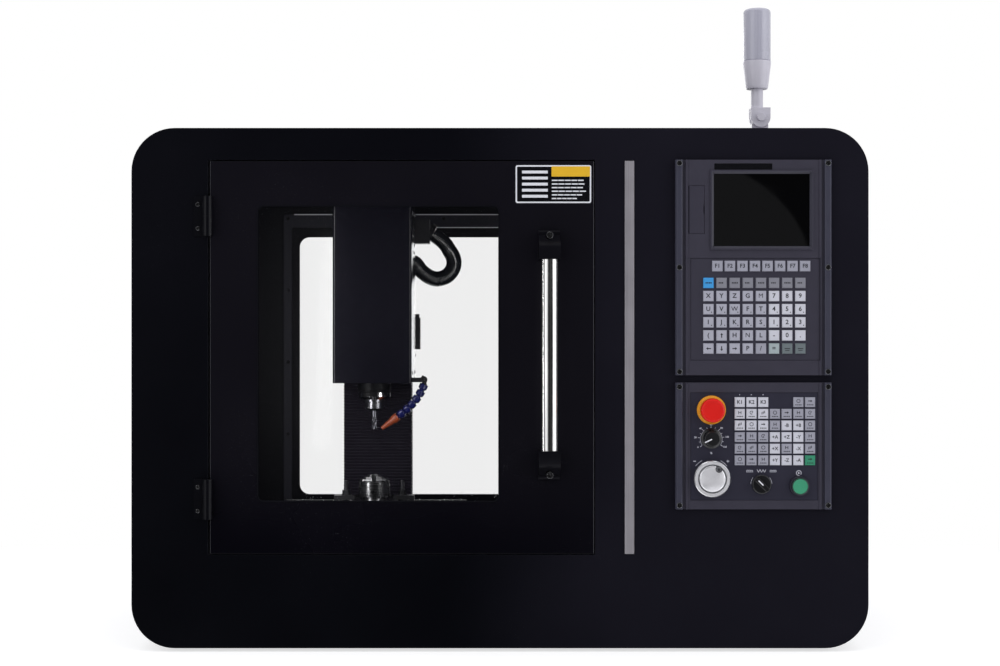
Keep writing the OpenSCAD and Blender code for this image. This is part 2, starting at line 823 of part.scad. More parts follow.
module saddle() {
    y0 = mill_y - table_w / 2;
    color([0.2, 0.21, 0.23])
    difference() {
        union() {
            translate([mill_x - saddle_w / 2, y0, base_top + seat])
                cube([saddle_w, table_w, saddle_top - base_top - seat]);
            translate([mill_x - saddle_w / 2, mill_y, saddle_top]) rotate([90, 0, 90])
                linear_extrude(saddle_w) dovetail(x_way_w);
            // Nut of the Y screw, hanging into the base, and nut of the X screw
            translate([mill_x - 14, mill_y - 16, y_screw_z - 13]) cube([28, 32, 40]);
            translate([mill_x - 14, mill_y - 12.8, saddle_top]) cube([28, 25.6, way_h + 8]);
        }
        difference() {
            translate([mill_x, mill_y, base_top]) rotate([90, 0, 0])
                way_groove(way_w, table_w + 2);
            translate([mill_x - 14, mill_y - 16, y_screw_z - 13]) cube([28, 32, 40]);
        }
        // Slot in the X way, round the X screw's nut
        difference() {
            translate([mill_x - saddle_w / 2 - 1, mill_y - 13, x_screw_z - 10])
                cube([saddle_w + 2, 26, way_h]);
            translate([mill_x - 14, mill_y - 14, x_screw_z - 11]) cube([28, 28, 20]);
        }
        translate([mill_x - saddle_w, mill_y, x_screw_z]) rotate([0, 90, 0])
            cylinder(r = screw_d / 2 + fit, h = 2 * saddle_w);
        translate([mill_x, mill_y - saddle_w, y_screw_z]) rotate([-90, 0, 0])
            cylinder(r = screw_d / 2 + fit, h = 2 * saddle_w);
    }
}

module table() {
    x0 = mill_x - table_l / 2;
    color([0.55, 0.56, 0.58])
    difference() {
        union() {
            translate([x0, mill_y - table_w / 2, saddle_top + seat])
                cube([table_l, table_w, table_top - saddle_top - seat]);
            for (x = [x0 - bracket_t, x0 + table_l]) translate([x, mill_y - 34, x_screw_z - 18])
                cube([bracket_t, 68, 40]);
        }
        translate([mill_x, mill_y, saddle_top]) rotate([90, 0, 90])
            way_groove(x_way_w, table_l);
        // Tunnel over the X screw and its nut
        translate([x0, mill_y - 14, saddle_top]) cube([table_l, 28, way_h + 8.5]);
        translate([x0 - bracket_t - 1, mill_y, x_screw_z]) rotate([0, 90, 0])
            cylinder(r = screw_d / 2 + fit, h = table_l + 2 * bracket_t + 2);
        for (y = slot_ys) {
            translate([x0 - 1, mill_y + y - slot_throat / 2, table_top - slot_depth])
                cube([table_l + 2, slot_throat, slot_depth + 1]);
            translate([x0 - 1, mill_y + y - slot_head / 2, table_top - slot_depth])
                cube([table_l + 2, slot_head, slot_head_h]);
        }
    }
}

module x_motor() {
    color([0.1, 0.1, 0.11])
    translate([mill_x - table_l / 2 - bracket_t - seat, mill_y, x_screw_z])
        rotate([0, -90, 0]) motor_body();
}

// ---------------------------------------------------------------- chuck

// Sets a radial piece, drawn along +X with the table's top at z = 0, at a jaw's angle
module radial(a) {
    translate([mill_x, mill_y, 0]) rotate([0, 0, a]) children();
}

module chuck_body() {
    r = chuck_d / 2;
    color([0.6, 0.61, 0.63])
    difference() {
        translate([mill_x, mill_y, table_top + seat]) rotate_extrude() polygon([
            [chuck_bore / 2, 0], [backplate_d / 2, 0], [backplate_d / 2, backplate_h - 1],
            [backplate_d / 2 - 1, backplate_h], [r - 7, backplate_h],
            [r - 7, backplate_h + chuck_neck_h], [r - 1, backplate_h + chuck_neck_h],
            [r, backplate_h + chuck_neck_h + 1], [r, chuck_top - table_top - seat - 2],
            [r - 2, chuck_top - table_top - seat], [chuck_bore / 2, chuck_top - table_top - seat]]);
        for (a = jaw_angles) radial(a) {
            translate([0, -jaw_w / 2 - seat, chuck_top - jaw_depth])
                cube([chuck_d, jaw_w + 2 * seat, jaw_depth + 1]);
            translate([0, -jaw_t_w / 2 - seat, chuck_top - jaw_depth - jaw_t_h])
                cube([chuck_d, jaw_t_w + 2 * seat, jaw_t_h + 2 * seat]);
        }
        // Key holes between the jaws
        for (a = jaw_angles) radial(a + 60) translate([r - 12, 0, chuck_z + 10])
            rotate([0, 90, 0]) cylinder(r = 4, h = 14);
        // Screws of the backplate
        for (a = [0 : 60 : 300]) radial(a) translate([backplate_d / 2 - 7, 0, table_top - 1])
            cylinder(r = 2.2, h = backplate_h + 3);
    }
}

// Stepped jaw with its 120 degree tip, guided by a T in the chuck's slot
module chuck_jaw(a) {
    tip = 4.5;
    r1 = chuck_d / 2 - 2;
    h = jaw_w / 2;
    nose = h / tan(60);
    color([0.5, 0.51, 0.53])
    radial(a) difference() {
        union() {
            translate([0, 0, chuck_top - jaw_depth - jaw_t_h + seat]) linear_extrude(jaw_t_h)
                polygon([[tip + 8, -jaw_t_w / 2], [r1, -jaw_t_w / 2], [r1, jaw_t_w / 2],
                    [tip + 8, jaw_t_w / 2]]);
            translate([0, 0, chuck_top - jaw_depth - jaw_t_h + seat])
                linear_extrude(jaw_depth + jaw_t_h + 10) polygon([[tip, 0], [tip + nose, -h],
                    [r1, -h], [r1, h], [tip + nose, h]]);
        }
        translate([tip + 7, -h - 1, chuck_top + 6.5]) cube([r1, jaw_w + 2, 9]);
        translate([tip + 15, -h - 1, chuck_top + 3]) cube([r1, jaw_w + 2, 9]);
    }
}
module chuck_jaw_1() { chuck_jaw(jaw_angles[0]); }
module chuck_jaw_2() { chuck_jaw(jaw_angles[1]); }
module chuck_jaw_3() { chuck_jaw(jaw_angles[2]); }

// Stud, nut, strap and T-nut to each side of the chuck
module hold_down_clamps() {
    plate_z = table_top + seat + backplate_h + seat;
    color([0.3, 0.31, 0.33])
    for (side = [-1, 1]) translate([mill_x + side * clamp_x, mill_y, 0]) {
        strap_out = 22;
        difference() {
            union() {
                translate([side > 0 ? -16 : -strap_out, -8, plate_z])
                    cube([16 + strap_out, 16, 8]);
                translate([side > 0 ? strap_out - 8 : -strap_out, -8, table_top + seat])
                    cube([8, 16, plate_z - table_top]);
            }
            translate([0, 0, plate_z - 1]) cylinder(r = 4.4, h = 10);
        }
        difference() {
            union() {
                translate([-11, -slot_throat / 2 + 0.4, table_top - slot_depth + 1.5])
                    cube([22, slot_throat - 0.8, slot_depth - 2]);
                translate([-11, -slot_head / 2 + 0.5, table_top - slot_depth + seat])
                    cube([22, slot_head - 1, slot_head_h - 2 * seat]);
            }
            translate([0, 0, table_top - slot_depth - 1]) cylinder(r = 4, h = 30);
        }
        translate([0, 0, table_top - slot_depth + seat]) cylinder(r = 4, h = 56);
        translate([0, 0, plate_z + 8 + seat]) difference() {
            union() {
                cylinder(r = 8.5, h = 2);
                cylinder(r = 7.4, h = 9, $fn = 6);
            }
            translate([0, 0, -1]) cylinder(r = 4 + fit, h = 12);
        }
    }
}

// ---------------------------------------------------------------- head and spindle

module head_casting() {
    half = head_w / 2;
    color([0.15, 0.16, 0.18])
    difference() {
        union() {
            // Arm round the spindle cartridge
            block(mill_x - half, mill_x + half, cover_d0 + 8, column_d0 - seat, head_z,
                head_z + arm_h);
            // Carriage on the Z way
            block(mill_x - column_w / 2, mill_x + column_w / 2, cover_d1, column_d0 - seat, head_z,
                head_z + carriage_h);
            // Nut of the Z screw
            translate([mill_x - 14, front_y + column_d0 - 16, head_z + 120])
                cube([28, 38, 44]);
            // Web over the arm
            along_x(mill_x - 8, 16) polygon([[spindle_depth + 38, head_z + arm_h - 1],
                [cover_d1 + 1, head_z + arm_h - 1], [cover_d1 + 1, head_z + carriage_h - 20]]);
            gland(gland_b, gland_b_turn);
        }
        difference() {
            translate([mill_x, front_y + column_d0, head_z + carriage_h / 2]) rotate([0, 0, 180])
                way_groove(way_w, carriage_h + 2);
            translate([mill_x - 14, front_y + column_d0 - 16, head_z + 120])
                cube([28, 38, 44]);
        }
        translate([mill_x, front_y + z_screw_depth, head_z])
            cylinder(r = z_screw_d / 2 + fit, h = carriage_h);
        translate([mill_x, mill_y, head_z - 1]) cylinder(r = cartridge_d / 2 + 0.1, h = arm_h + 2);
    }
}

module head_cover() {
    x0 = mill_x - cover_w / 2;
    x1 = mill_x + cover_w / 2;
    r = 5;
    color([0.05, 0.05, 0.07])
    difference() {
        translate([0, 0, cover_z]) linear_extrude(cover_h) {
            translate([x0, front_y + cover_d0 + r]) square([cover_w, cover_d1 - cover_d0 - r]);
            translate([x0 + r, front_y + cover_d0]) square([cover_w - 2 * r, r + 1]);
            for (x = [x0 + r, x1 - r]) translate([x, front_y + cover_d0 + r]) circle(r = r);
        }
        block(x0 + cover_t, x1 - cover_t, cover_d0 + cover_t, cover_d1 + 1, cover_z - 1,
            cover_zt - cover_t);
        // Cooling slots in the sides
        for (i = [0 : 6]) block(x0 - 1, x1 + 1, cover_d0 + 40, cover_d0 + 110,
            cover_zt - 120 + i * 14, cover_zt - 116 + i * 14);
    }
}

module spindle_cartridge() {
    r = cartridge_d / 2;
    z1 = head_z + arm_h + 4;
    color([0.62, 0.63, 0.65])
    difference() {
        translate([mill_x, mill_y, 0]) rotate_extrude() polygon([
            [shaft_d / 2 + fit, cartridge_z], [r - 5, cartridge_z], [r, cartridge_z + 5],
            [r, cartridge_z + 13], [r - 1, cartridge_z + 14], [r - 1, cartridge_z + 16],
            [r, cartridge_z + 17], [r, z1], [shaft_d / 2 + fit, z1]]);
        for (a = [30 : 60 : 330]) radial(a) translate([r - 7, 0, cartridge_z - 1])
            cylinder(r = 2.5, h = 6);
    }
}

// Collet nut, nose and shaft turn together
module spindle_shaft() {
    r = shaft_d / 2;
    z_nut = cartridge_z - 5 - nut_h;
    color([0.55, 0.55, 0.57])
    difference() {
        translate([mill_x, mill_y, 0]) rotate_extrude() polygon([
            [cutter_d / 2 + fit, z_nut], [nut_d / 2 - 5, z_nut], [nut_d / 2, z_nut + 4],
            [nut_d / 2, z_nut + nut_h], [nut_d / 2 - 2, z_nut + nut_h],
            [nut_d / 2 - 2, z_nut + nut_h + 1], [nut_d / 2 + 2, z_nut + nut_h + 1],
            [nut_d / 2 + 2, cartridge_z - seat], [r, cartridge_z - seat],
            [r, head_z + arm_h + 2], [0, head_z + arm_h + 2], [0, z_nut + 28],
            [cutter_d / 2 + fit, z_nut + 28]]);
        for (a = [0 : 60 : 300]) radial(a) translate([nut_d / 2 - 1.5, -2.5, z_nut + 4])
            cube([4, 5, nut_h - 5]);
    }
}

module spindle_motor() {
    side = 80;
    z0 = head_z + arm_h + 4 + seat;
    color([0.1, 0.1, 0.11])
    translate([mill_x, mill_y, z0]) difference() {
        union() {
            linear_extrude(10) rounded_rect(-side / 2, -side / 2, side, side, 4);
            translate([0, 0, 9]) cylinder(d = side - 4, h = 100);
            translate([0, 0, 108]) cylinder(d = side - 10, h = 26);
        }
        for (a = [0 : 15 : 345]) rotate([0, 0, a]) translate([side / 2 - 4, -1.5, 18])
            cube([4, 3, 84]);
    }
}

// Four straight-edged flutes wound round the core
module end_mill() {
    r = cutter_d / 2;
    flute_l = 22;
    z_nut = cartridge_z - 5 - nut_h;
    color([0.7, 0.7, 0.72])
    translate([mill_x, mill_y, cutter_tip]) {
        linear_extrude(flute_l, twist = -150, slices = 22) {
            circle(r = r * 0.62, $fn = 24);
            for (a = [0 : 90 : 270]) rotate(a) polygon([[0, -r * 0.35], [r * 0.86, -r * 0.3],
                [r * 0.99, 0], [r * 0.6, r * 0.4], [0, r * 0.4]]);
        }
        translate([0, 0, flute_l - 0.5]) cylinder(r = r, h = z_nut + 26 - cutter_tip - flute_l);
    }
}

// ---------------------------------------------------------------- coolant hose

// Section of a link with its socket round the ball above and its own ball at the far end
module link_section(pitch) {
    r = hose_d / 2;
    bore = 2.6;
    rs = ball_r + ball_gap;
    a0 = asin(bore / rs);
    a1 = 118;
    mouth = [for (k = [0 : 10]) let (a = a0 + (a1 - a0) * k / 10)
        [rs * sin(a), rs * cos(a)]];
    b0 = 180 - asin(ball_neck / ball_r);
    b1 = asin(bore / ball_r);
    ball = [for (k = [0 : 10]) let (a = b0 + (b1 - b0) * k / 10)
        [ball_r * sin(a), pitch + ball_r * cos(a)]];
    polygon(concat(mouth, [[r - 0.8, rs * cos(a1)], [r, rs * cos(a1) + 0.8],
        [r, rs - 1.4], [r - 2.2, rs + 1.2], [ball_neck, rs + 1.2]], ball));
}

// Points of the hose's balls: each link leans further towards the cutter
function ball_point(i) = i == 0 ? [hose_x, hose_y, hose_z] :
    ball_point(i - 1) - hose_pitch * [sin(hose_angles[i - 1]), 0, cos(hose_angles[i - 1])];

module hose_links() {
    color([0.12, 0.16, 0.5])
    for (i = [0 : len(hose_angles) - 1]) translate(ball_point(i))
        rotate([0, 180 + hose_angles[i], 0]) rotate_extrude($fn = 48) link_section(hose_pitch);
}

module hose_nozzle() {
    r = hose_d / 2;
    rs = ball_r + ball_gap;
    n = len(hose_angles);
    a1 = 118;
    mouth = [for (k = [0 : 10]) let (a = 24 + (a1 - 24) * k / 10) [rs * sin(a), rs * cos(a)]];
    color([0.85, 0.4, 0.12])
    translate(ball_point(n)) rotate([0, 180 + hose_angles[n - 1], 0])
    rotate_extrude($fn = 48) polygon(concat(mouth, [[r - 0.8, rs * cos(a1)],
        [r, rs * cos(a1) + 0.8], [r, rs + 0.4], [r - 1.6, rs + 3], [3.4, nozzle_l],
        [1.8, nozzle_l], [1.8, rs + 4]]));
}

// Block on the side of the head that feeds the hose from a ball of its own
module coolant_manifold() {
    x0 = mill_x + cover_w / 2 + seat;
    color([0.1, 0.1, 0.12]) {
        difference() {
            union() {
                block(x0, hose_x - 3, cover_d0 + 28, cover_d0 + 58, manifold_z, manifold_z + 8);
                translate([hose_x - 3, hose_y, manifold_z + 4]) rotate([0, 90, 0])
                    rotate(22.5) cylinder(r = 8.6, h = 3, $fn = 8);
                translate([hose_x, hose_y, manifold_z + 4]) sphere(r = 7);
            }
            translate([hose_x - 20, hose_y - 20, manifold_z - 20.2]) cube([40, 40, 20]);
        }
        translate([hose_x, hose_y, hose_z]) rotate([0, hose_angles[0] * 0.5, 0]) {
            difference() {
                union() {
                    sphere(r = ball_r);
                    cylinder(r = ball_neck, h = 12);
                }
                translate([0, 0, -hose_d]) cylinder(r = 2.6, h = hose_d + 8);
            }
        }
    }
}

// ---------------------------------------------------------------- ball screws

module x_screw() {
    l = table_l + 2 * bracket_t - 1;
    color([0.6, 0.6, 0.62])
    translate([mill_x - l / 2, mill_y, x_screw_z]) rotate([0, 90, 0])
        cylinder(d = screw_d, h = l);
}

module y_screw() {
    l = column_d0 - 12 - base_d0;
    color([0.6, 0.6, 0.62])
    translate([mill_x, front_y + base_d0 + 0.5, y_screw_z]) rotate([-90, 0, 0])
        cylinder(d = screw_d, h = l);
}

module z_screw() {
    z0 = z_way_z - 11;
    color([0.6, 0.6, 0.62])
    translate([mill_x, front_y + z_screw_depth, z0])
        cylinder(d = z_screw_d, h = column_top - z0);
}

// ---------------------------------------------------------------- control panel

// Half of a housing's section: rail, groove, ridge and flat face, in x and reach
function rail_half() = [[0, 0], [0, 5], [1.5, 8], [3, 9], [10, 9], [11.5, 8], [12.5, 3.5],
    [16, 3.5], [17, 7.5], [20.5, 7.5], [21.5, housing_f]];
function mirrored(pts) = [for (i = [len(pts) - 1 : -1 : 0]) [unit_w - pts[i][0], pts[i][1]]];

module housing(z, h) {
    section = concat(rail_half(), mirrored(rail_half()));
    x0 = unit_x + box_margin;
    x1 = unit_x + unit_w - box_margin;
    translate([unit_x, front_y - seat, z]) linear_extrude(h)
        polygon([for (p = section) [p[0], -p[1]]]);
    difference() {
        block(x0, x1, -seat - 1, box_depth, z + box_margin, z + h - box_margin);
        block(x0 + 2, x1 - 2, -seat, box_depth - 2, z + box_margin + 2, z + h - box_margin - 2);
    }
}

// Counterbored screws along both rails
module rail_screws(zs) {
    for (x = [unit_x + 6.5, unit_x + unit_w - 6.5], z = zs) {
        rod_y(x, z, 3.8, 6.5, 12);
        rod_y(x, z, 2, -2, 12);
    }
}

// Solid that narrows from the bezel's edge down to the glass
module screen_funnel() {
    f0 = 3.4;
    f1 = 12;
    lean = 4;
    intersection() {
        translate([screen_x - bezel, front_y, screen_z - bezel])
            linear_extrude(screen_h + 2 * bezel)
            polygon([[bezel, -f0], [bezel - lean, -housing_f - 3], [bezel - lean, -f1],
                [screen_w + bezel + lean, -f1], [screen_w + bezel + lean, -housing_f - 3],
                [screen_w + bezel, -f0]]);
        along_x(screen_x - bezel, screen_w + 2 * bezel)
            polygon([[-f0, screen_z], [-housing_f - 3, screen_z - lean], [-f1, screen_z - lean],
                [-f1, screen_z + screen_h + lean], [-housing_f - 3, screen_z + screen_h + lean],
                [-f0, screen_z + screen_h]]);
    }
}

module display_housing() {
    zs = [display_z + 6, display_z + display_h / 2, display_z + display_h - 6];
    color([0.27, 0.27, 0.32])
    difference() {
        union() {
            housing(display_z, display_h);
            proud(housing_f - 1, housing_f + 2.5) translate([screen_x - bezel, screen_z - bezel])
                square([screen_w + 2 * bezel, screen_h + 2 * bezel]);
            // Pocket for the port behind the flap
            block(usb_x + 5, usb_x + 23, -seat - 1, 16, usb_z + 8, usb_z + usb_h - 8);
        }
        screen_funnel();
        proud(1.5, 5) translate([screen_x, screen_z]) square([screen_w, screen_h]);
        proud(recess_f, 12) translate([unit_x + 25, keys_z0]) square([215, keys_z1 - keys_z0]);
        // Joint between the screen part and the key part
        proud(housing_f - 1, 12) translate([unit_x + 12, keys_z1]) square([unit_w - 24, 1]);
        rail_screws(zs);
        // Recess, pin holes and port of the flap
        proud(1.6, 12) translate([usb_x, usb_z]) square([usb_w, usb_h]);
        translate([usb_axis_x, front_y - usb_axis_f, usb_z - 3])
            cylinder(r = usb_pin_r + fit, h = usb_h + 6);
        upright(-4, 18) translate([usb_x + 7, usb_z + 10]) square([14, usb_h - 20]);
    }
}

module display_screen() {
    color([0.03, 0.03, 0.04])
    proud(1.5 + seat, 3.4) translate([screen_x + seat, screen_z + seat])
        square([screen_w - 2 * seat, screen_h - 2 * seat]);
}

// One key with its bevelled top, its lower left corner at x, z
module key(x, z, w, h) {
    c = 0.8;
    proud(pad_f - 0.2, key_f - c) translate([x, z]) square([w, h]);
    proud(key_f - c - eps, key_f) translate([x + c, z + c]) square([w - 2 * c, h - 2 * c]);
}

// Keys in columns and rows, counted from the upper left key's upper left corner
module key_grid(x, z, cols, rows, pitch, w, h, skip = []) {
    for (c = [0 : cols - 1], r = [0 : rows - 1])
        if (len(search([[c, r]], skip)[0]) == 0) key(x + c * pitch, z - r * pitch - h, w, h);
}

module display_keypad() {
    color([0.75, 0.75, 0.78]) {
        proud(recess_f + seat, pad_f) translate([unit_x + 25.5, keys_z0 + 0.5])
            square([214, keys_z1 - keys_z0 - 1]);
        key_grid(unit_x + 60.8, keys_z1 - 3.9, 8, 1, 20.75, 17.4, 17.4);
        key_grid(unit_x + 46.1, keys_z1 - 32, 8, 6, 21.75, 17.1, 17.1);
    }
}

module operator_housing() {
    zs = [operator_z + 7, operator_z + operator_h - 7];
    x0 = op_recess[0];
    color([0.27, 0.27, 0.32])
    difference() {
        union() {
            housing(operator_z, operator_h);
            // Encoder and switch bodies behind the face
            rod_y(control_x, handwheel_z, 24, -40, 1);
            rod_y(control_x, feed_z, 11, -20, 1);
            rod_y(selector_x, selector_z, 14, -30, 1);
            rod_y(start_x, start_z, 13, -30, 1);
        }
        proud(recess_f, 12) translate([x0, op_recess[1]]) square([op_recess[2], op_recess[3]]);
        rail_screws(zs);
        rod_y(control_x, estop_z, 11.2, -box_depth + 10, 12);
        rod_y(control_x, feed_z, 3 + fit, -12, 12);
        rod_y(control_x, handwheel_z, 4 + fit, -30, 12);
        rod_y(selector_x, selector_z, 3 + fit, -20, 12);
        rod_y(start_x, start_z, 9 + fit, -20, 12);
    }
    // Guide ring of the start button
    color([0.27, 0.27, 0.32]) difference() {
        rod_y(start_x, start_z, start_d / 2 + 2.2, recess_f - 0.5, 11);
        rod_y(start_x, start_z, start_d / 2 + 0.3, recess_f + 2, 12);
        rod_y(start_x, start_z, 9 + fit, 0, 12);
    }
}

module operator_keypad() {
    x0 = op_recess[0] + 0.4;
    gaps = [[3, 0], [4, 0]];
    color([0.75, 0.75, 0.78]) {
        difference() {
            proud(recess_f + seat, pad_f) translate([x0, op_recess[1] + 0.4])
                square([op_recess[2] - 0.8, op_recess[3] - 0.8]);
            rod_y(control_x, estop_z, 13, 0, 12);
            rod_y(control_x, feed_z, 4, 0, 12);
            rod_y(control_x, handwheel_z, 5, 0, 12);
            rod_y(selector_x, selector_z, 4, 0, 12);
            rod_y(start_x, start_z, start_d / 2 + 2.6, 0, 12);
        }
        for (c = [0 : 6], r = [0 : 5]) if (!(r == 0 && (c == 3 || c == 4)))
            key(unit_x + 98.1 + c * 19.4, operator_z + 185.7 - r * 19.26 - 16.3, 16.8, 16.3);
    }
}

module estop_collar() {
    color([0.92, 0.7, 0.1])
    translate([control_x, front_y, estop_z]) rotate([90, 0, 0]) rotate_extrude() polygon([
        [8 + fit, -30], [11, -30], [11, pad_f + seat], [collar_r, pad_f + seat],
        [collar_r, pad_f + 3], [collar_r - 3, pad_f + 6.5], [14, pad_f + 6.5], [14, pad_f + 4],
        [8 + fit, pad_f + 4]]);
}

module estop_button() {
    f0 = pad_f + 13.5;
    r = estop_d / 2;
    color([0.85, 0.08, 0.06])
    translate([control_x, front_y, estop_z]) rotate([90, 0, 0]) rotate_extrude() polygon([
        [0, -22], [8, -22], [8, f0 - 1], [11, f0], [r - 1.5, f0], [r, f0 + 1.5], [r, f0 + 8],
        [r - 1, f0 + 10.5], [r - 4, f0 + 12], [r - 5.5, f0 + 11.4], [4, f0 + 12.6],
        [0, f0 + 12.6]]);
}

module feed_knob() {
    color([0.05, 0.05, 0.06])
    translate([control_x, front_y, feed_z]) rotate([90, 0, 0]) difference() {
        rotate_extrude() polygon([[0, -10], [3, -10], [3, pad_f + seat], [17, pad_f + seat],
            [17, pad_f + 2.5], [14, pad_f + 4], [12.4, pad_f + 17], [11, pad_f + 18.5],
            [0, pad_f + 18.5]]);
        for (a = [0 : 20 : 340]) rotate([0, 0, a]) translate([14.4, 0, pad_f + 4.5])
            cylinder(r = 1.6, h = 16, $fn = 16);
    }
}

module handwheel() {
    r = handwheel_d / 2;
    f = pad_f;
    color([0.75, 0.75, 0.77])
    translate([control_x, front_y, handwheel_z]) rotate([90, 0, 0]) difference() {
        rotate_extrude() polygon([[0, -26], [4, -26], [4, f + seat], [12, f + seat], [12, f + 3],
            [r - 1, f + 3], [r, f + 4], [r, f + 15], [r - 1.5, f + 16.5], [r - 6, f + 16.5],
            [r - 7.5, f + 15], [r - 8.5, f + 16.5], [r - 10, f + 17.5], [0, f + 18.2]]);
        translate([10.6, 16, f + 21]) sphere(r = 7);
        for (a = [0 : 7.5 : 352.5]) rotate([0, 0, a]) translate([r + 0.5, 0, f + 3.5])
            cylinder(r = 0.9, h = 12, $fn = 6);
    }
}

module mode_selector() {
    f = pad_f;
    color([0.05, 0.05, 0.06])
    translate([selector_x, front_y, selector_z]) rotate([90, 0, 0]) {
        rotate_extrude() polygon([[0, -18], [3, -18], [3, f + seat], [16, f + seat],
            [16, f + 5], [14.5, f + 6.5], [0, f + 6.5]]);
        rotate([0, 0, 135]) translate([0, 0, f + 6]) linear_extrude(13) {
            translate([-10, -3.5]) square([20, 7]);
            for (x = [-10, 10]) translate([x, 0]) circle(r = 3.5);
        }
    }
}

module start_button() {
    r = start_d / 2;
    color([0.2, 0.6, 0.42])
    translate([start_x, front_y, start_z]) rotate([90, 0, 0]) rotate_extrude() polygon([
        [0, -12], [9, -12], [9, 11.2], [r, 11.2], [r, 14], [r - 1.2, 15.2], [r - 4, 14.6],
        [0, 14.2]]);
}

module usb_flap() {
    f0 = 2.2;
    x0 = usb_axis_x;
    color([0.27, 0.27, 0.32]) {
        difference() {
            proud(f0, housing_f - 0.2) translate([x0, usb_z + 0.5])
                square([usb_x + usb_w - 0.5 - x0, usb_h - 1]);
            proud(0, 8) translate([usb_x + usb_w - 2, usb_z + usb_h / 2 - 7]) square([4, 14]);
        }
        translate([x0, front_y - usb_axis_f, usb_z + 0.5]) cylinder(r = 1.8, h = usb_h - 1);
        translate([x0, front_y - usb_axis_f, usb_z - 2.5])
            cylinder(r = usb_pin_r, h = usb_h + 5);
    }
}

// ---------------------------------------------------------------- tower lamp

module lamp_foot() {
    y = front_y + lamp_depth;
    color([0.68, 0.67, 0.72])
    difference() {
        union() {
            translate([0, y, roof_z + seat]) linear_extrude(5)
                translate([0, 0]) rounded_rect(pivot_x - 34, -26, 68, 52, 8);
            translate([pivot_x - lug_r, y - lug_t / 2, roof_z + 4])
                cube([2 * lug_r, lug_t, pivot_z - roof_z - 4]);
            translate([pivot_x, y + lug_t / 2, pivot_z]) rotate([90, 0, 0])
                cylinder(r = lug_r, h = lug_t);
            for (x = [-1, 1]) along_x(pivot_x + x * (lug_r - 3) - 3, 6) polygon([
                [lamp_depth - 22, roof_z + 4], [lamp_depth + 22, roof_z + 4],
                [lamp_depth + 4, pivot_z - ear_r - 6], [lamp_depth - 4, pivot_z - ear_r - 6]]);
        }
        translate([pivot_x, y + 30, pivot_z]) rotate([90, 0, 0]) cylinder(r = 4 + fit, h = 60);
        for (x = [-26, 26], dy = [-18, 18]) translate([pivot_x + x, y + dy, roof_z - 1])
            cylinder(r = 2.6, h = 9);
    }
}

module lamp_stand() {
    y = front_y + lamp_depth;
    gap = 0.3;
    color([0.68, 0.67, 0.72]) {
        // Two ears joined over the lug, and the pin through them
        for (s = [-1, 1]) translate([0, y + s * (lug_t / 2 + gap + ear_t / 2) + ear_t / 2, 0])
            rotate([90, 0, 0]) linear_extrude(ear_t) {
                translate([pivot_x, pivot_z]) circle(r = ear_r);
                translate([pivot_x - ear_r, pivot_z]) square([2 * ear_r, pole_z - pivot_z]);
            }
        translate([pivot_x - ear_r, y - lug_t / 2 - gap - ear_t, pivot_z + lug_r + 1])
            cube([2 * ear_r, lug_t + 2 * gap + 2 * ear_t, pole_z - pivot_z - lug_r - 1]);
        translate([pivot_x, y + 18, pivot_z]) rotate([90, 0, 0]) cylinder(r = 4, h = 36);
        translate([pivot_x, y - 17, pivot_z]) rotate([90, 0, 0]) cylinder(r = 7.5, h = 4);
        translate([lamp_x, y, 0]) rotate_extrude() polygon([
            [0, pole_z - 1], [pole_d / 2, pole_z - 1], [pole_d / 2, lamp_base_z],
            [lens_d / 2 - 6, lamp_base_z], [lens_d / 2 - 4.8, lamp_base_z + 3],
            [lens_d / 2 + 0.6, lens_z - 4], [lens_d / 2 + 0.8, lens_z - seat],
            [0, lens_z - seat]]);
    }
}

module lamp_lens() {
    r = lens_d / 2;
    edge = 7;
    dome = [for (a = [0 : 15 : 90]) [r - edge + edge * cos(a), lens_z + lens_h - edge
        + edge * sin(a)]];
    color([0.78, 0.77, 0.82])
    translate([lamp_x, front_y + lamp_depth, 0]) rotate_extrude()
        polygon(concat([[0, lens_z], [r, lens_z]], dome, [[0, lens_z + lens_h]]));
}

outer_skin();
front_panel();
rear_panel();
rear_window();
rear_window_frame();
partition();
chip_tray();
feet();
base_casting();
column_casting();
axis_motors();
z_limit_switch();
conduit_bracket();
cable_conduit();
z_bellows();
hinge_frame_leaves();
trim_strip();
display_housing();
display_screen();
display_keypad();
operator_housing();
operator_keypad();
estop_collar();
drive_units();
mains_inlet();
lamp_foot();
door_panel();
door_window();
hinge_door_leaves();
handle_tube();
handle_mounts();
saddle();
x_motor();
table();
chuck_body();
chuck_jaw_1();
chuck_jaw_2();
chuck_jaw_3();
hold_down_clamps();
head_casting();
head_cover();
spindle_cartridge();
spindle_motor();
coolant_manifold();
spindle_shaft();
end_mill();
hose_links();
hose_nozzle();
x_screw();
y_screw();
z_screw();
estop_button();
feed_knob();
handwheel();
mode_selector();
start_button();
usb_flap();
mains_rocker();
lamp_stand();
lamp_lens();
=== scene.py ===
"""Looks of a desktop CNC milling machine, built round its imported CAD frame.

Axes are the frame's own: +X to the right, +Y to the back, +Z up. Lengths are in metres where
no docstring says millimetres. A reach is measured forward from the front panel's face.
"""

from __future__ import annotations

import json
import logging
import math
from dataclasses import dataclass
from enum import Enum
from typing import Any, Callable, Iterable, Sequence

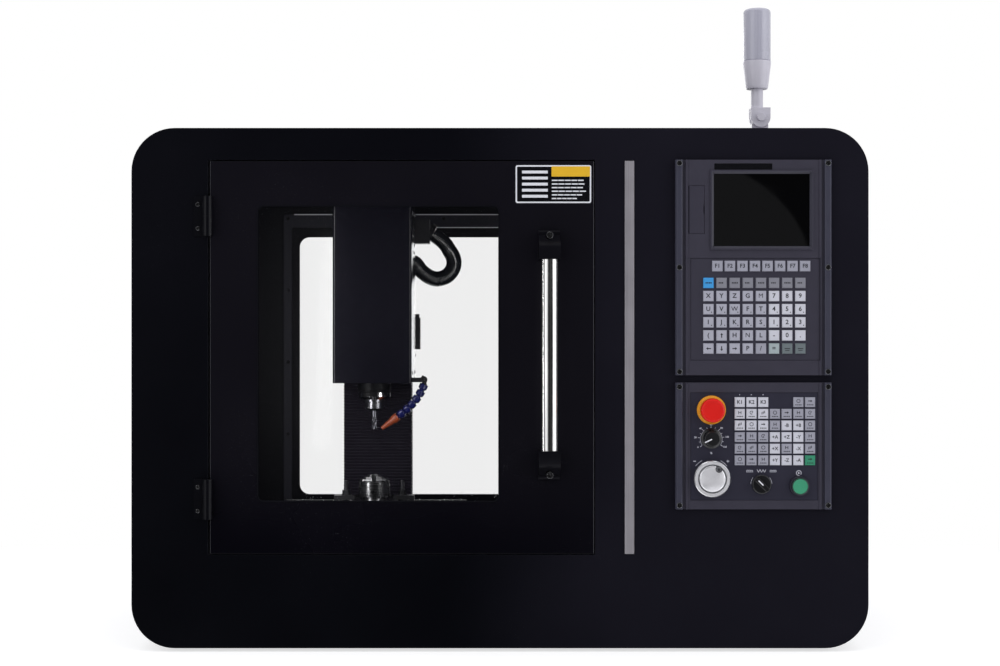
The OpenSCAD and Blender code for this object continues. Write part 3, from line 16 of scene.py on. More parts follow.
import bmesh
import bpy
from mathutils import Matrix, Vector

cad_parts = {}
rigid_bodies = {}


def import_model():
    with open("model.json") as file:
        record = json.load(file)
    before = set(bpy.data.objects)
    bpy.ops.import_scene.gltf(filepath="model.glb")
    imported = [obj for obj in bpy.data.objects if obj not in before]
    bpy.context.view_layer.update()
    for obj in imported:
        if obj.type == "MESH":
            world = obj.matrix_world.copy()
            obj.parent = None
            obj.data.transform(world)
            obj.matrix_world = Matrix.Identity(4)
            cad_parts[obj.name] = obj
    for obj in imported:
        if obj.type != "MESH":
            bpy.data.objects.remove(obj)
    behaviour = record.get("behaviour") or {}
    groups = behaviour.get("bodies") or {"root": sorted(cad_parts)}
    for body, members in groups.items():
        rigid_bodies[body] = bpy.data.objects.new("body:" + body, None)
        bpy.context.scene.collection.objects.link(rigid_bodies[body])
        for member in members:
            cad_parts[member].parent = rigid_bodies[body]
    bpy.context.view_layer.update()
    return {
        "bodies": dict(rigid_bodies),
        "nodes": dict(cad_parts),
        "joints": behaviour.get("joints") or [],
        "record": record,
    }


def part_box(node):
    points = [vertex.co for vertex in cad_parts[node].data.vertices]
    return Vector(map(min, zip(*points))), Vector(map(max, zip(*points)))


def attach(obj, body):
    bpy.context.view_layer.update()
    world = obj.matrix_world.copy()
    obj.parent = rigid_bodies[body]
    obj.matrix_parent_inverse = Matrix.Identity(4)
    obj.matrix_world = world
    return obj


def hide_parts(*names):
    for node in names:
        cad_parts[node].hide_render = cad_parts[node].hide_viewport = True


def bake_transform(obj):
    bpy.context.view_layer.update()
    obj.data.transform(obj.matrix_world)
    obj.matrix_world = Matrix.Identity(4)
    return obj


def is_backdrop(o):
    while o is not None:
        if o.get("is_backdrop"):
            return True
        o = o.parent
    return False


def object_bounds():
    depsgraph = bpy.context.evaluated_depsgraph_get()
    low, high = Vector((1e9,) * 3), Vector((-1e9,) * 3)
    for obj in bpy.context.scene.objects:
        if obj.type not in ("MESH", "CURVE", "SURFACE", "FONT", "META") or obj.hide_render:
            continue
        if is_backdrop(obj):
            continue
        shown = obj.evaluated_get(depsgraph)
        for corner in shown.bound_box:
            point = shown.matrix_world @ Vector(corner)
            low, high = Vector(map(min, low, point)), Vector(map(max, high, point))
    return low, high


LOG = logging.getLogger("milling_machine")
MM = 0.001
Colour = tuple[float, float, float]
Place = tuple[float, float, float]
Point = tuple[float, float]
Faces = list[list[int]]
Painter = Callable[[Vector, Vector], int]


class Facing(Enum):
    """Way a fastener's head looks, as the turn that takes +Z there."""

    FRONT = (math.pi / 2, 0.0, 0.0)
    BACK = (-math.pi / 2, 0.0, 0.0)


class Grain(Enum):
    """Direction in which a metal was brushed, as the stretch of its noise."""

    UPRIGHT = (900.0, 900.0, 6.0)
    ACROSS = (6.0, 900.0, 900.0)
    DEEP = (900.0, 6.0, 900.0)


# ---------------------------------------------------------------- plain helpers


def shade(*channels: int) -> Colour:
    """Return red, green and blue on the 0 to 255 scale as scene-linear values."""

    def linear(value: float) -> float:
        """Undo the display curve of one channel."""
        return value / 12.92 if value <= 0.04045 else ((value + 0.055) / 1.055) ** 2.4

    return tuple(linear(channel / 255) for channel in channels)  # type: ignore[return-value]


def lighter(colour: Colour, factor: float) -> Colour:
    """Return a colour multiplied by a factor, up to white."""
    return tuple(min(1.0, value * factor) for value in colour)  # type: ignore[return-value]


def polar(middle: Point, radius: float, turn: float) -> Point:
    """Return the point at a radius and an angle in radians from a middle."""
    return middle[0] + radius * math.cos(turn), middle[1] + radius * math.sin(turn)


def spread(low: float, high: float, count: int) -> list[float]:
    """Return evenly spaced values from low to high."""
    return [low + (high - low) * i / (count - 1) for i in range(count)]


def rounded(low: Point, high: Point, radius: float, inset: float, steps: int) -> list[Point]:
    """Return the outline of a rectangle with round corners.

    Args:
        low: its left and lower edges.
        high: its right and upper edges.
        radius: radius of its corners.
        inset: distance by which the outline is moved inwards.
        steps: steps round each corner.

    Returns:
        The points, anticlockwise from the lower right corner.
    """
    curve = radius - inset
    left, right = low[0] + radius, high[0] - radius
    bottom, top = low[1] + radius, high[1] - radius
    middles = ((right, bottom), (right, top), (left, top), (left, bottom))
    points = []
    for quarter, middle in enumerate(middles):
        for step in range(steps + 1):
            turn = math.pi / 2 * (quarter - 1 + step / steps)
            points.append(polar(middle, curve, turn))
    return points


def lofted(rings: Sequence[Sequence[Place]], ends: bool = True) -> tuple[list[Place], Faces]:
    """Return a skin over rings that have equal numbers of points.

    Args:
        rings: the rings, each anticlockwise as seen from the last one.
        ends: True to close both ends, False to join the last ring to the first.

    Returns:
        The vertices and the faces.
    """
    count, total = len(rings[0]), len(rings)
    faces: Faces = []
    for level in range(total - 1 if ends else total):
        low, high = level * count, (level + 1) % total * count
        for i in range(count):
            j = (i + 1) % count
            faces.append([low + i, low + j, high + j, high + i])
    if ends:
        last = (total - 1) * count
        faces = [list(range(count))[::-1], *faces, [last + i for i in range(count)]]
    return [point for ring in rings for point in ring], faces


def turned(profile: Sequence[tuple[Any, float]], sides: int = 24) -> tuple[list[Place], Faces]:
    """Return a closed solid over rings round Z.

    Args:
        profile: radius, as a number or a function of the angle, and height, from the bottom up.
        sides: points on each ring.

    Returns:
        The vertices and the faces.
    """
    rings = []
    for radius, height in profile:
        turns = [math.tau * i / sides for i in range(sides)]
        sizes = [radius(turn) if callable(radius) else radius for turn in turns]
        rings.append([(*polar((0, 0), size, turn), height) for size, turn in zip(sizes, turns)])
    return lofted(rings)


def placed(name: str, data: bpy.types.ID) -> bpy.types.Object:
    """Put a mesh, a curve, a light or a camera into the scene as an object at the origin."""
    item = bpy.data.objects.new(name, data)
    bpy.context.scene.collection.objects.link(item)
    return item


def evaluated(item: bpy.types.Object) -> bpy.types.Mesh:
    """Return an object's mesh with its modifiers applied."""
    bpy.context.view_layer.update()
    depsgraph = bpy.context.evaluated_depsgraph_get()
    return bpy.data.meshes.new_from_object(item.evaluated_get(depsgraph))


# ---------------------------------------------------------------- node trees


class Tree:
    """A node tree in which one method adds every node."""

    tree: bpy.types.NodeTree

    def node(
        self,
        kind: str,
        settings: dict[str, Any] | None = None,
        inputs: dict[Any, Any] | None = None,
    ) -> bpy.types.Node:
        """Add a node.

        Args:
            kind: Blender's name of the node type.
            settings: properties that are set before the sockets.
            inputs: values or links by socket name or number.

        Returns:
            The new node.
        """
        node = self.tree.nodes.new(kind)
        for key, value in (settings or {}).items():
            setattr(node, key, value)
        for key, value in (inputs or {}).items():
            self.feed(node.inputs[key], value)
        return node

    def feed(self, socket: bpy.types.NodeSocket, value: Any) -> None:
        """Link a socket or number expression to a socket, or set its value."""
        if isinstance(value, Num):
            value = value.socket
        if isinstance(value, bpy.types.NodeSocket):
            self.tree.links.new(value, socket)
        elif socket.type == "RGBA" and len(value) == 3:
            socket.default_value = (*value, 1.0)
        else:
            socket.default_value = value


class Num:
    """A number socket that adds Math nodes when it is used in an expression."""

    def __init__(self, graph: Tree, socket: bpy.types.NodeSocket) -> None:
        """Wrap one socket of a graph."""
        self.graph = graph
        self.socket = socket

    def maths(self, operation: str, *values: Any) -> "Num":
        """Add one Math node and return its result."""
        node = self.graph.node("ShaderNodeMath", {"operation": operation}, dict(enumerate(values)))
        return Num(self.graph, node.outputs[0])

    def __add__(self, other: Any) -> "Num":
        """Return self + other."""
        return self.maths("ADD", self, other)

    def __sub__(self, other: Any) -> "Num":
        """Return self - other."""
        return self.maths("SUBTRACT", self, other)

    def __rsub__(self, other: Any) -> "Num":
        """Return other - self."""
        return self.maths("SUBTRACT", other, self)

    def __mul__(self, other: Any) -> "Num":
        """Return self * other."""
        return self.maths("MULTIPLY", self, other)

    def __truediv__(self, other: Any) -> "Num":
        """Return self / other."""
        return self.maths("DIVIDE", self, other)

    __radd__ = __add__
    __rmul__ = __mul__

    def wave(self) -> "Num":
        """Return the sine of the number."""
        return self.maths("SINE", self)

    def root(self) -> "Num":
        """Return the square root of the number."""
        return self.maths("SQRT", self)

    def size(self) -> "Num":
        """Return the number without its sign."""
        return self.maths("ABSOLUTE", self)

    def off_whole(self) -> "Num":
        """Return the distance to the nearest whole number."""
        return self.maths("PINGPONG", self, 0.5)

    def bearing(self, other: "Num") -> "Num":
        """Return the angle whose sine goes with self and whose cosine goes with other."""
        return self.maths("ARCTAN2", self, other)

    def between(self, low: float, high: float) -> "Num":
        """Return 0 below low, 1 above high and a smooth rise between them."""
        node = self.graph.node(
            "ShaderNodeMapRange",
            {"interpolation_type": "SMOOTHSTEP", "clamp": True},
            {"Value": self, "From Min": low, "From Max": high, "To Min": 0.0, "To Max": 1.0},
        )
        return Num(self.graph, node.outputs[0])


class ShaderGraph(Tree):
    """Node graph of one material with a Principled shader."""

    def __init__(self, name: str) -> None:
        """Start a material of that name."""
        self.material = bpy.data.materials.new(name)
        self.material.use_nodes = True
        self.tree = self.material.node_tree
        self.shader = self.tree.nodes["Principled BSDF"]
        self.point = self.node("ShaderNodeTexCoord").outputs["Object"]

    def vector(
        self, operation: str, value: Sequence[float], output: int | str = 0
    ) -> bpy.types.NodeSocket:
        """Combine the point with a fixed vector.

        Args:
            operation: operation of the Vector Math node.
            value: the vector.
            output: output that is wanted.

        Returns:
            That output.
        """
        node = self.node(
            "ShaderNodeVectorMath", {"operation": operation}, {0: self.point, 1: value}
        )
        return node.outputs[output]

    def noise(self, scale: float, detail: float = 2.0, vector: Any = None) -> Num:
        """Return noise of about 1/scale metres, in the range 0 to 1."""
        sockets = {"Vector": vector or self.point, "Scale": scale, "Detail": detail}
        return Num(self, self.node("ShaderNodeTexNoise", None, sockets).outputs[0])

    def axes(self, vector: Any = None) -> tuple[Num, ...]:
        """Return the three coordinates of a vector, or of the point."""
        node = self.node("ShaderNodeSeparateXYZ", None, {0: vector or self.point})
        return tuple(Num(self, output) for output in node.outputs)

    def mix(self, factor: Any, first: Any, second: Any) -> bpy.types.NodeSocket:
        """Return a colour between first and second."""
        sockets = {0: factor, 6: first, 7: second}
        return self.node("ShaderNodeMix", {"data_type": "RGBA"}, sockets).outputs[2]

    def shades(
        self, factor: Any, colour: Colour, dark: float, pale: float
    ) -> bpy.types.NodeSocket:
        """Return a colour between a darker and a paler one of the same hue."""
        return self.mix(factor, lighter(colour, dark), lighter(colour, pale))

    def set(self, **values: Any) -> None:
        """Set or link sockets of the Principled shader; an underscore stands for a space."""
        names = {"Specular": "Specular IOR Level"}
        for key, value in values.items():
            self.feed(self.shader.inputs[names.get(key, key.replace("_", " "))], value)

    def bump(self, height: Num, depth: float) -> None:
        """Raise the surface by height times depth metres."""
        node = self.node("ShaderNodeBump", None, {"Height": height, "Distance": depth})
        self.feed(self.shader.inputs["Normal"], node.outputs["Normal"])


class SkyGraph(ShaderGraph):
    """Node graph of the world, read by the direction of a ray."""

    def __init__(self, name: str) -> None:
        """Start a world of that name and hang it in the scene."""
        world = bpy.data.worlds.new(name)
        world.use_nodes = True
        self.tree = world.node_tree
        self.tree.nodes.clear()
        self.point = self.node("ShaderNodeTexCoord").outputs["Generated"]
        bpy.context.scene.world = world

    def glow(self, colour: Colour, level: Any) -> bpy.types.NodeSocket:
        """Return a background of a colour and level."""
        node = self.node("ShaderNodeBackground", None, {"Color": colour, "Strength": level})
        return node.outputs[0]

    def join(self, factor: Any, first: Any, second: Any) -> bpy.types.NodeSocket:
        """Return the first shader where the factor is 0 and the second where it is 1."""
        return self.node("ShaderNodeMixShader", None, {0: factor, 1: first, 2: second}).outputs[0]


# ---------------------------------------------------------------- finishes


@dataclass(frozen=True)
class Finish:
    """What a surface is made of."""

    name: str

    def dress(self, graph: ShaderGraph) -> None:
        """Build the finish's nodes."""
        raise NotImplementedError

    def material(self) -> bpy.types.Material:
        """Return the finish's material, made once."""
        title = "finish_" + self.name
        found = bpy.data.materials.get(title)
        if found is None:
            graph = ShaderGraph(title)
            self.dress(graph)
            found = graph.material
        return found


@dataclass(frozen=True)
class PowderCoat(Finish):
    """Baked powder paint with a fine peel, faint dust and optional painted light."""

    colour: Colour
    roughness: float = 0.42
    specular: float = 0.08
    peel: float = 0.00006
    dust: float = 0.35
    # The optional colour and the three fields after it paint light: the coat turns paler towards the
    # right across x and towards the top over z.
    painted_light_colour: Colour | None = None
    across: Point = (-0.10, 0.22)
    rising: Point = (0.0, 0.75)
    level_share: float = 0.85

    def dress(self, graph: ShaderGraph) -> None:
        """Mix paint, dust specks and the painted light."""
        cloud = graph.noise(5.0, 3.0)
        specks = graph.noise(650.0, 1.0).between(0.71, 0.78) * cloud.between(0.45, 0.7)
        paint = graph.shades(cloud, self.colour, 0.75, 1.35)
        if self.painted_light_colour:
            x, _, z = graph.axes()
            # Painted light: paler towards the right and towards the top.
            painted_light = x.between(*self.across) * self.level_share
            painted_light = painted_light + z.between(*self.rising) * (1.0 - self.level_share)
            paint = graph.mix(painted_light, paint, graph.shades(cloud, self.painted_light_colour, 0.85, 1.2))
        graph.set(
            Base_Color=graph.mix(specks * self.dust, paint, (0.12, 0.12, 0.14)),
            Roughness=self.roughness + (cloud - 0.5) * 0.14 + specks * 0.2,
            Specular=self.specular,
        )
        graph.bump(graph.noise(1100.0), self.peel)


@dataclass(frozen=True)
class CastEnamel(Finish):
    """Thick enamel over sand-cast iron."""

    colour: Colour = (0.012, 0.012, 0.015)
    roughness: float = 0.5

    def dress(self, graph: ShaderGraph) -> None:
        """Mix broad sand-casting waves with fine grain."""
        sand = graph.noise(160.0, 4.0)
        graph.set(
            Base_Color=graph.shades(graph.noise(9.0), self.colour, 0.7, 1.4),
            Roughness=self.roughness + (sand - 0.5) * 0.25,
            Specular=0.35,
        )
        graph.bump(sand, 0.0005)


@dataclass(frozen=True)
class BrushedMetal(Finish):
    """Metal brushed or ground in one direction."""

    colour: Colour
    roughness: float
    grain: Grain = Grain.UPRIGHT
    metallic: float = 1.0
    specular: float = 0.5

    def dress(self, graph: ShaderGraph) -> None:
        """Stretch fine noise along the brushing."""
        lines = graph.noise(1.0, 4.0, graph.vector("MULTIPLY", self.grain.value))
        cloud = graph.noise(22.0)
        tone = (lines * 0.7 + cloud * 0.3).between(0.25, 0.75)
        graph.set(
            Base_Color=graph.shades(tone, self.colour, 0.82, 1.12),
            Roughness=self.roughness + (lines - 0.5) * 0.22 + (cloud - 0.5) * 0.08,
            Metallic=self.metallic,
            Specular=self.specular,
        )
        graph.bump(lines, 0.00002)


@dataclass(frozen=True)
class TurnedMetal(Finish):
    """Metal turned on a lathe, with fine rings round its axis."""

    colour: Colour
    roughness: float
    centre: Place
    upright: bool = True
    metallic: float = 1.0

    def dress(self, graph: ShaderGraph) -> None:
        """Make rings from the distance to the axis and from the height along it."""
        x, y, z = graph.axes(graph.vector("SUBTRACT", self.centre))
        across, along = (y, z) if self.upright else (z, y)
        rings = graph.node(
            "ShaderNodeTexNoise",
            {"noise_dimensions": "1D"},
            {"W": (x * x + across * across).root() + along, "Scale": 2600.0, "Detail": 2.0},
        )
        lines = Num(graph, rings.outputs[0])
        stain = graph.noise(45.0, 3.0)
        graph.set(
            Base_Color=graph.shades(stain, self.colour, 0.8, 1.1),
            Roughness=self.roughness + (lines - 0.5) * 0.25 + (stain - 0.5) * 0.1,
            Metallic=self.metallic,
        )
        graph.bump(lines, 0.00002)


@dataclass(frozen=True)
class Moulded(Finish):
    """Plastic or rubber from a spark-eroded mould."""

    colour: Colour
    roughness: float
    specular: float = 0.5
    coat: float = 0.0

    def dress(self, graph: ShaderGraph) -> None:
        """Mix the mould's texture with handling marks."""
        fine = graph.noise(1900.0, 1.0)
        marks = graph.noise(38.0, 3.0)
        graph.set(
            Base_Color=graph.shades(marks, self.colour, 0.9, 1.08),
            Roughness=self.roughness + (marks - 0.5) * 0.16 + (fine - 0.5) * 0.08,
            Coat_Weight=self.coat,
            Coat_Roughness=0.12,
            Specular=self.specular,
        )
        graph.bump(fine, 0.00004)


@dataclass(frozen=True)
class Pane(Finish):
    """Clear sheet that is seen through."""

    def dress(self, graph: ShaderGraph) -> None:
        """Set a constant alpha on the shader alone."""
        graph.set(Base_Color=(0.02, 0.02, 0.025), Roughness=0.06, Alpha=0.04, IOR=1.49)


@dataclass(frozen=True)
class DisplayGlass(Finish):
    """Switched-off display behind its glass."""

    def dress(self, graph: ShaderGraph) -> None:
        """Mix a dark panel with faint finger marks."""
        wipe = graph.noise(14.0, 4.0)
        graph.set(
            Base_Color=graph.mix(wipe, (0.0004, 0.0004, 0.0007), (0.0009, 0.0009, 0.0013)),
            Roughness=0.015 + wipe.between(0.5, 0.8) * 0.03,
            Specular=0.8,
        )
        graph.bump(wipe, 0.00001)


@dataclass(frozen=True)
class PleatedCloth(Finish):
    """Coated cloth of the bellows."""

    def dress(self, graph: ShaderGraph) -> None:
        """Weave two sets of threads and dust the folds."""
        x, y, z = graph.axes()
        threads = 7000.0
        dust = graph.noise(30.0, 4.0)
        settled = dust.between(0.5, 0.85)
        graph.set(
            Base_Color=graph.mix(settled, (0.0105, 0.0090, 0.0135), (0.016, 0.0145, 0.020)),
            Roughness=0.85 + (dust - 0.5) * 0.2,
            Specular=0.05,
        )
        graph.bump((x * threads).wave() * ((y + z) * threads).wave(), 0.00004)


@dataclass(frozen=True)
class MilkyLens(Finish):
    """Diffusing plastic of the tower lamp with fine upright flutes inside."""

    centre: Place

    def dress(self, graph: ShaderGraph) -> None:
        """Flute the surface round the lamp's axis."""
        x, y, _ = graph.axes(graph.vector("SUBTRACT", self.centre))
        flutes = (y.bearing(x) * 60.0).wave()
        graph.set(
            Base_Color=graph.mix(flutes * 0.5 + 0.5, (0.38, 0.375, 0.45), (0.46, 0.455, 0.54)),
            Roughness=0.26 + (graph.noise(40.0) - 0.5) * 0.1,
            Coat_Weight=0.6,
            Coat_Roughness=0.15,
        )
        graph.bump(flutes, 0.00008)


@dataclass(frozen=True)
class ScrewThread(Finish):
    """Ground ball screw; its thread is a wave along the axis."""

    axis: int
    lead: float = 0.005

    def dress(self, graph: ShaderGraph) -> None:
        """Raise rounded threads along one axis and paint shade into their roots."""
        thread = (graph.axes()[self.axis] * (math.tau / self.lead)).wave()
        graph.set(
            # Painted shade: the thread's roots are darker than its crests.
            Base_Color=graph.mix(thread * 0.5 + 0.5, (0.30, 0.30, 0.31), (0.62, 0.62, 0.64)),
            Roughness=0.22 + graph.noise(60.0) * 0.12,
            Metallic=1.0,
        )
        graph.bump(thread, 0.0009)


class Look:
    """All finishes of the machine, by the maker's words."""

    # Painted light on body and door: their coat turns paler towards the right and the top.
    body = PowderCoat("body_powder_coat", (0.0006, 0.0008, 0.0024), painted_light_colour=(0.0080, 0.0074, 0.0130))
    door = PowderCoat(
        "door_powder_coat",
        (0.0016, 0.0014, 0.0034),
        0.25,
        specular=0.12,
        peel=0.00002,
        dust=0.9,
        painted_light_colour=(0.0066, 0.0060, 0.0092),
        across=(-0.1, 0.2),
        rising=(0.14, 0.40),
        level_share=0.2,
    )
    inside = PowderCoat("chamber_paint", (0.032, 0.033, 0.043), 0.45, dust=0.8)
    frame_strip = PowderCoat("pane_frame_paint", (0.022, 0.022, 0.030), 0.4)
    tray = PowderCoat("tray_paint", (0.016, 0.016, 0.020), 0.5, dust=1.0)
    cover = PowderCoat("head_cover_paint", (0.0036, 0.0034, 0.0060), 0.22, 0.2, 0.00002, 0.7)
    hinge = PowderCoat("hinge_paint", (0.0026, 0.0026, 0.0044), 0.3, 0.13, dust=0.1)
    drive = PowderCoat("drive_case_paint", (0.16, 0.165, 0.18), 0.5)
    casting = CastEnamel("casting_enamel")
    saddle = CastEnamel("saddle_enamel", (0.03, 0.032, 0.036))
    motor = CastEnamel("motor_enamel", (0.010, 0.010, 0.012), 0.45)
    handle = BrushedMetal("handle_stainless", (0.72, 0.71, 0.70), 0.17)
    trim = BrushedMetal("trim_anodised", shade(159, 155, 161), 0.42, metallic=0.35)
    # Painted highlight: a paler finish on eased edges stands in for their lit line.
    painted_edge_highlight = BrushedMetal("painted_edge_highlight", (0.08, 0.08, 0.09), 0.4, metallic=0.4)
    table = BrushedMetal("table_ground", (0.018, 0.018, 0.020), 0.7, Grain.ACROSS, 0.0, 0.08)
    jaw = BrushedMetal("jaw_ground", (0.42, 0.42, 0.43), 0.3, Grain.DEEP)
    clamp = BrushedMetal("clamp_blackened", (0.06, 0.06, 0.065), 0.4)
    chips = BrushedMetal("metal_chips", (0.78, 0.78, 0.8), 0.35, metallic=0.3)
    cutter = BrushedMetal("cutter_carbide", (0.13, 0.13, 0.15), 0.32)
    fastener = BrushedMetal("fastener_black_oxide", (0.17, 0.17, 0.18), 0.26)
    steel_screw = BrushedMetal("fastener_zinc", (0.45, 0.45, 0.46), 0.3)
    dark_screw = BrushedMetal("fastener_dark", (0.012, 0.012, 0.014), 0.5)
    # Painted highlight: pale strips stand in for lit edges of the bar over the rear window.
    lip = Moulded("bar_strip", (0.84, 0.84, 0.86), 0.35)
    foot = Moulded("foot_rubber", (0.012, 0.012, 0.012), 0.75)
    gasket = Moulded("window_rubber", (0.006, 0.006, 0.008), 0.6, 0.0)
    mount = Moulded("handle_mount_plastic", (0.0042, 0.0040, 0.0062), 0.4, 0.06)
    # Painted highlight: a lighter finish on the mounts' upright edges stands in for their lit edges.
    mount_edge_highlight = Moulded("handle_mount_edge", (0.030, 0.029, 0.036), 0.4, 0.3)
    cartridge = Moulded("cartridge_black", (0.004, 0.004, 0.005), 0.5, 0.1)
    fitting = Moulded("fitting_plastic", (0.006, 0.006, 0.008), 0.45, 0.3)
    conduit = Moulded("conduit_plastic", (0.006, 0.007, 0.009), 0.2, 1.0)
    panel = Moulded("panel_lacquer", shade(57, 55, 67), 0.5, 0.2)
    rail = Moulded("rail_lacquer", shade(59, 59, 73), 0.42, 0.25)
    bezel = Moulded("bezel_lacquer", shade(57, 56, 68), 0.32, 0.6)
    film = Moulded("keypad_film", shade(55, 53, 65), 0.55, 0.18)
    film_low = Moulded("keypad_film_low", shade(44, 43, 57), 0.55, 0.18)
    keys = (
        Moulded("key_light_grey", shade(168, 168, 181), 0.5),
        Moulded("key_white", shade(200, 200, 210), 0.5),
        Moulded("key_mid_grey", shade(154, 154, 167), 0.5),
        Moulded("key_grey", shade(128, 128, 138), 0.5),
        Moulded("key_pale_green", shade(160, 172, 176), 0.5),
        Moulded("key_dull_green", shade(104, 114, 118), 0.5),
        Moulded("key_blue", shade(52, 150, 216), 0.5),
        Moulded("key_green", shade(44, 140, 106), 0.5),
    )
    print_dark = Moulded("key_print", shade(22, 22, 30), 0.6)
    print_white = Moulded("panel_print", shade(200, 200, 212), 0.6)
    red = Moulded("stop_red", shade(220, 18, 8), 0.34, 0.3)
    yellow = Moulded("collar_yellow", shade(228, 150, 30), 0.36, 0.4)
    green = Moulded("start_green", shade(60, 154, 116), 0.32, coat=0.25)
    # Painted shade: a darker green for the side of the start button.
    green_side_shade = Moulded("start_side_shade", shade(24, 62, 50), 0.3, coat=0.3)
    knob = Moulded("knob_black", (0.008, 0.008, 0.010), 0.35)
    pointer = Moulded("pointer_white", shade(225, 225, 232), 0.5)
    inlet = Moulded("inlet_black", (0.01, 0.01, 0.011), 0.4)
    rocker = Moulded("rocker_red", shade(180, 20, 16), 0.3, coat=0.3)
    hose = Moulded("hose_blue", shade(17, 21, 72), 0.22)
    nozzle = Moulded("nozzle_orange", shade(132, 58, 30), 0.4)
    lamp = Moulded("lamp_grey", shade(204, 201, 212), 0.34)
    plate_black = Moulded("plate_black", (0.004, 0.004, 0.006), 0.22)
    plate_white = Moulded("plate_white", shade(225, 226, 232), 0.4)
    plate_yellow = Moulded("plate_yellow", shade(228, 178, 20), 0.4)
    door_pane = Pane("door_pane_clear")
    rear_pane = Pane("rear_pane_clear")
    screen = DisplayGlass("display_glass")
    cloth = PleatedCloth("bellows_cloth")


# ---------------------------------------------------------------- making pieces


class Workshop:
    """Turns outlines and CAD nodes into finished pieces on the frame's bodies.

    Before a node's edges are eased, points within merge become one, slivers go, and faces that
    are flat to each other are joined. Edges that turn by more than bend are eased.
    """

    merge = 2e-6
    sliver = 1e-6
    flat = math.radians(1.2)
    bend = math.radians(32)

    def __init__(self, frame: dict[str, Any]) -> None:
        """Keep the frame and the place of the front panel's face."""
        record = frame["record"]
        bodies = record["behaviour"]["bodies"]
        self.nodes = frame["nodes"]
        self.body_of = {node: body for body, nodes in bodies.items() for node in nodes}
        self.slot_of = {part["node"]: part["material_slot"] for part in record["subparts"]}
        self.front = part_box("front_panel")[0].y

    def keep(self, piece: bpy.types.Object, body: str, slot: str) -> None:
        """Let a piece ride on a body and log it."""
        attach(piece, body)
        self.report(piece)

    def report(self, piece: bpy.types.Object) -> None:
        """Log a piece that is done."""
        LOG.info("made %s", piece.name)

    def dress(self, node: str, finish: Finish) -> None:
        """Give a CAD node its finish and leave its shape."""
        for slot in self.nodes[node].material_slots:
            slot.material = finish.material()
        self.report(self.nodes[node])

    @staticmethod
    def middle(corners: tuple[Vector, Vector]) -> Place:
        """Return the middle of a node's box as seen from above, at no height."""
        low, high = corners
        return (low.x + high.x) / 2, (low.y + high.y) / 2, 0.0

    def plain(
        self, name: str, vertices: Sequence[Place], faces: Iterable[Sequence[int]], finish: Finish
    ) -> bpy.types.Object:
        """Return an object made from points and faces.

        Args:
            name: its name.
            vertices: its points.
            faces: the points of each face, anticlockwise as seen from outside.
            finish: its finish.

        Returns:
            The object, on no body yet.
        """
        mesh = bpy.data.meshes.new(name)
        mesh.from_pydata(vertices, [], [tuple(face) for face in faces])
        mesh.materials.append(finish.material())
        return placed(name, mesh)

    def baked(self, source: bpy.types.Object, name: str) -> bpy.types.Object:
        """Return a plain copy of an object with its modifiers applied, and drop the source."""
        mesh = evaluated(source)
        bpy.data.objects.remove(source)
        mesh.name = name
        return placed(name, mesh)

    def eased(
        self,
        node: str,
        width: float,
        finish: Finish,
        segments: int = 2,
        paint: Painter | None = None,
        others: Sequence[Finish] = (),
    ) -> None:
        """Replace a CAD node by a copy with eased edges.

        Args:
            node: the CAD node.
            width: size of the eased edge in millimetres.
            finish: main finish.
            segments: steps across each eased edge.
            paint: gives a face's finish number from its middle and its normal; None for 0.
            others: finishes with numbers from 1.
        """
        source = self.nodes[node].data
        mesh = bpy.data.meshes.new(node + "_eased")
        triangles = [tuple(face.vertices) for face in source.polygons]
        mesh.from_pydata([vertex.co.copy() for vertex in source.vertices], [], triangles)
        work = bmesh.new()
        work.from_mesh(mesh)
        bmesh.ops.remove_doubles(work, verts=work.verts, dist=self.merge)
        bmesh.ops.dissolve_degenerate(work, dist=self.sliver, edges=work.edges)
        bmesh.ops.dissolve_limit(work, angle_limit=self.flat, verts=work.verts, edges=work.edges)
        for face in work.faces:
            face.smooth = True
        work.to_mesh(mesh)
        work.free()
        for coat in (finish, *others):
            mesh.materials.append(coat.material())
        rough = placed(node + "_rough", mesh)
        bevel = rough.modifiers.new("ease", "BEVEL")
        bevel.width = width * MM
        bevel.segments = segments
        bevel.limit_method = "ANGLE"
        bevel.angle_limit = self.bend
        bevel.harden_normals = True
        bevel.use_clamp_overlap = True
        piece = self.baked(rough, node + "_finished")
        if paint is not None:
            for polygon in piece.data.polygons:
                polygon.material_index = paint(polygon.center, polygon.normal)
        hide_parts(node)
        self.keep(piece, self.body_of[node], self.slot_of[node])

    def eased_all(self, rows: Iterable[Sequence[Any]]) -> None:
        """Ease several CAD nodes, each row with what eased takes."""
        for row in rows:
            self.eased(*row)

    def plate(
        self,
        name: str,
        corner: Point,
        size: Point,
        reach: Point,
        radius: float,
        finish: Finish,
        edge: float = 0.15,
    ) -> bpy.types.Object:
        """Return a plate on the front with round corners and an eased rim.

        Args:
            name: name of the piece.
            corner: its left and lower edges in millimetres.
            size: width and height in millimetres.
            reach: its back and its face, in millimetres before the panel.
            radius: radius of its corners in millimetres.
            finish: its finish.
            edge: size of the eased rim in millimetres.

        Returns:
            The plate, on no body yet.
        """
        far = (corner[0] + size[0], corner[1] + size[1])
        rings = []
        for inset, depth in ((0, reach[0]), (0, reach[1] - edge), (edge, reach[1])):
            outline = rounded(corner, far, radius, inset, 6)
            rings.append([(x * MM, self.front - depth * MM, z * MM) for x, z in outline])
        return self.plain(name, *lofted(rings), finish)


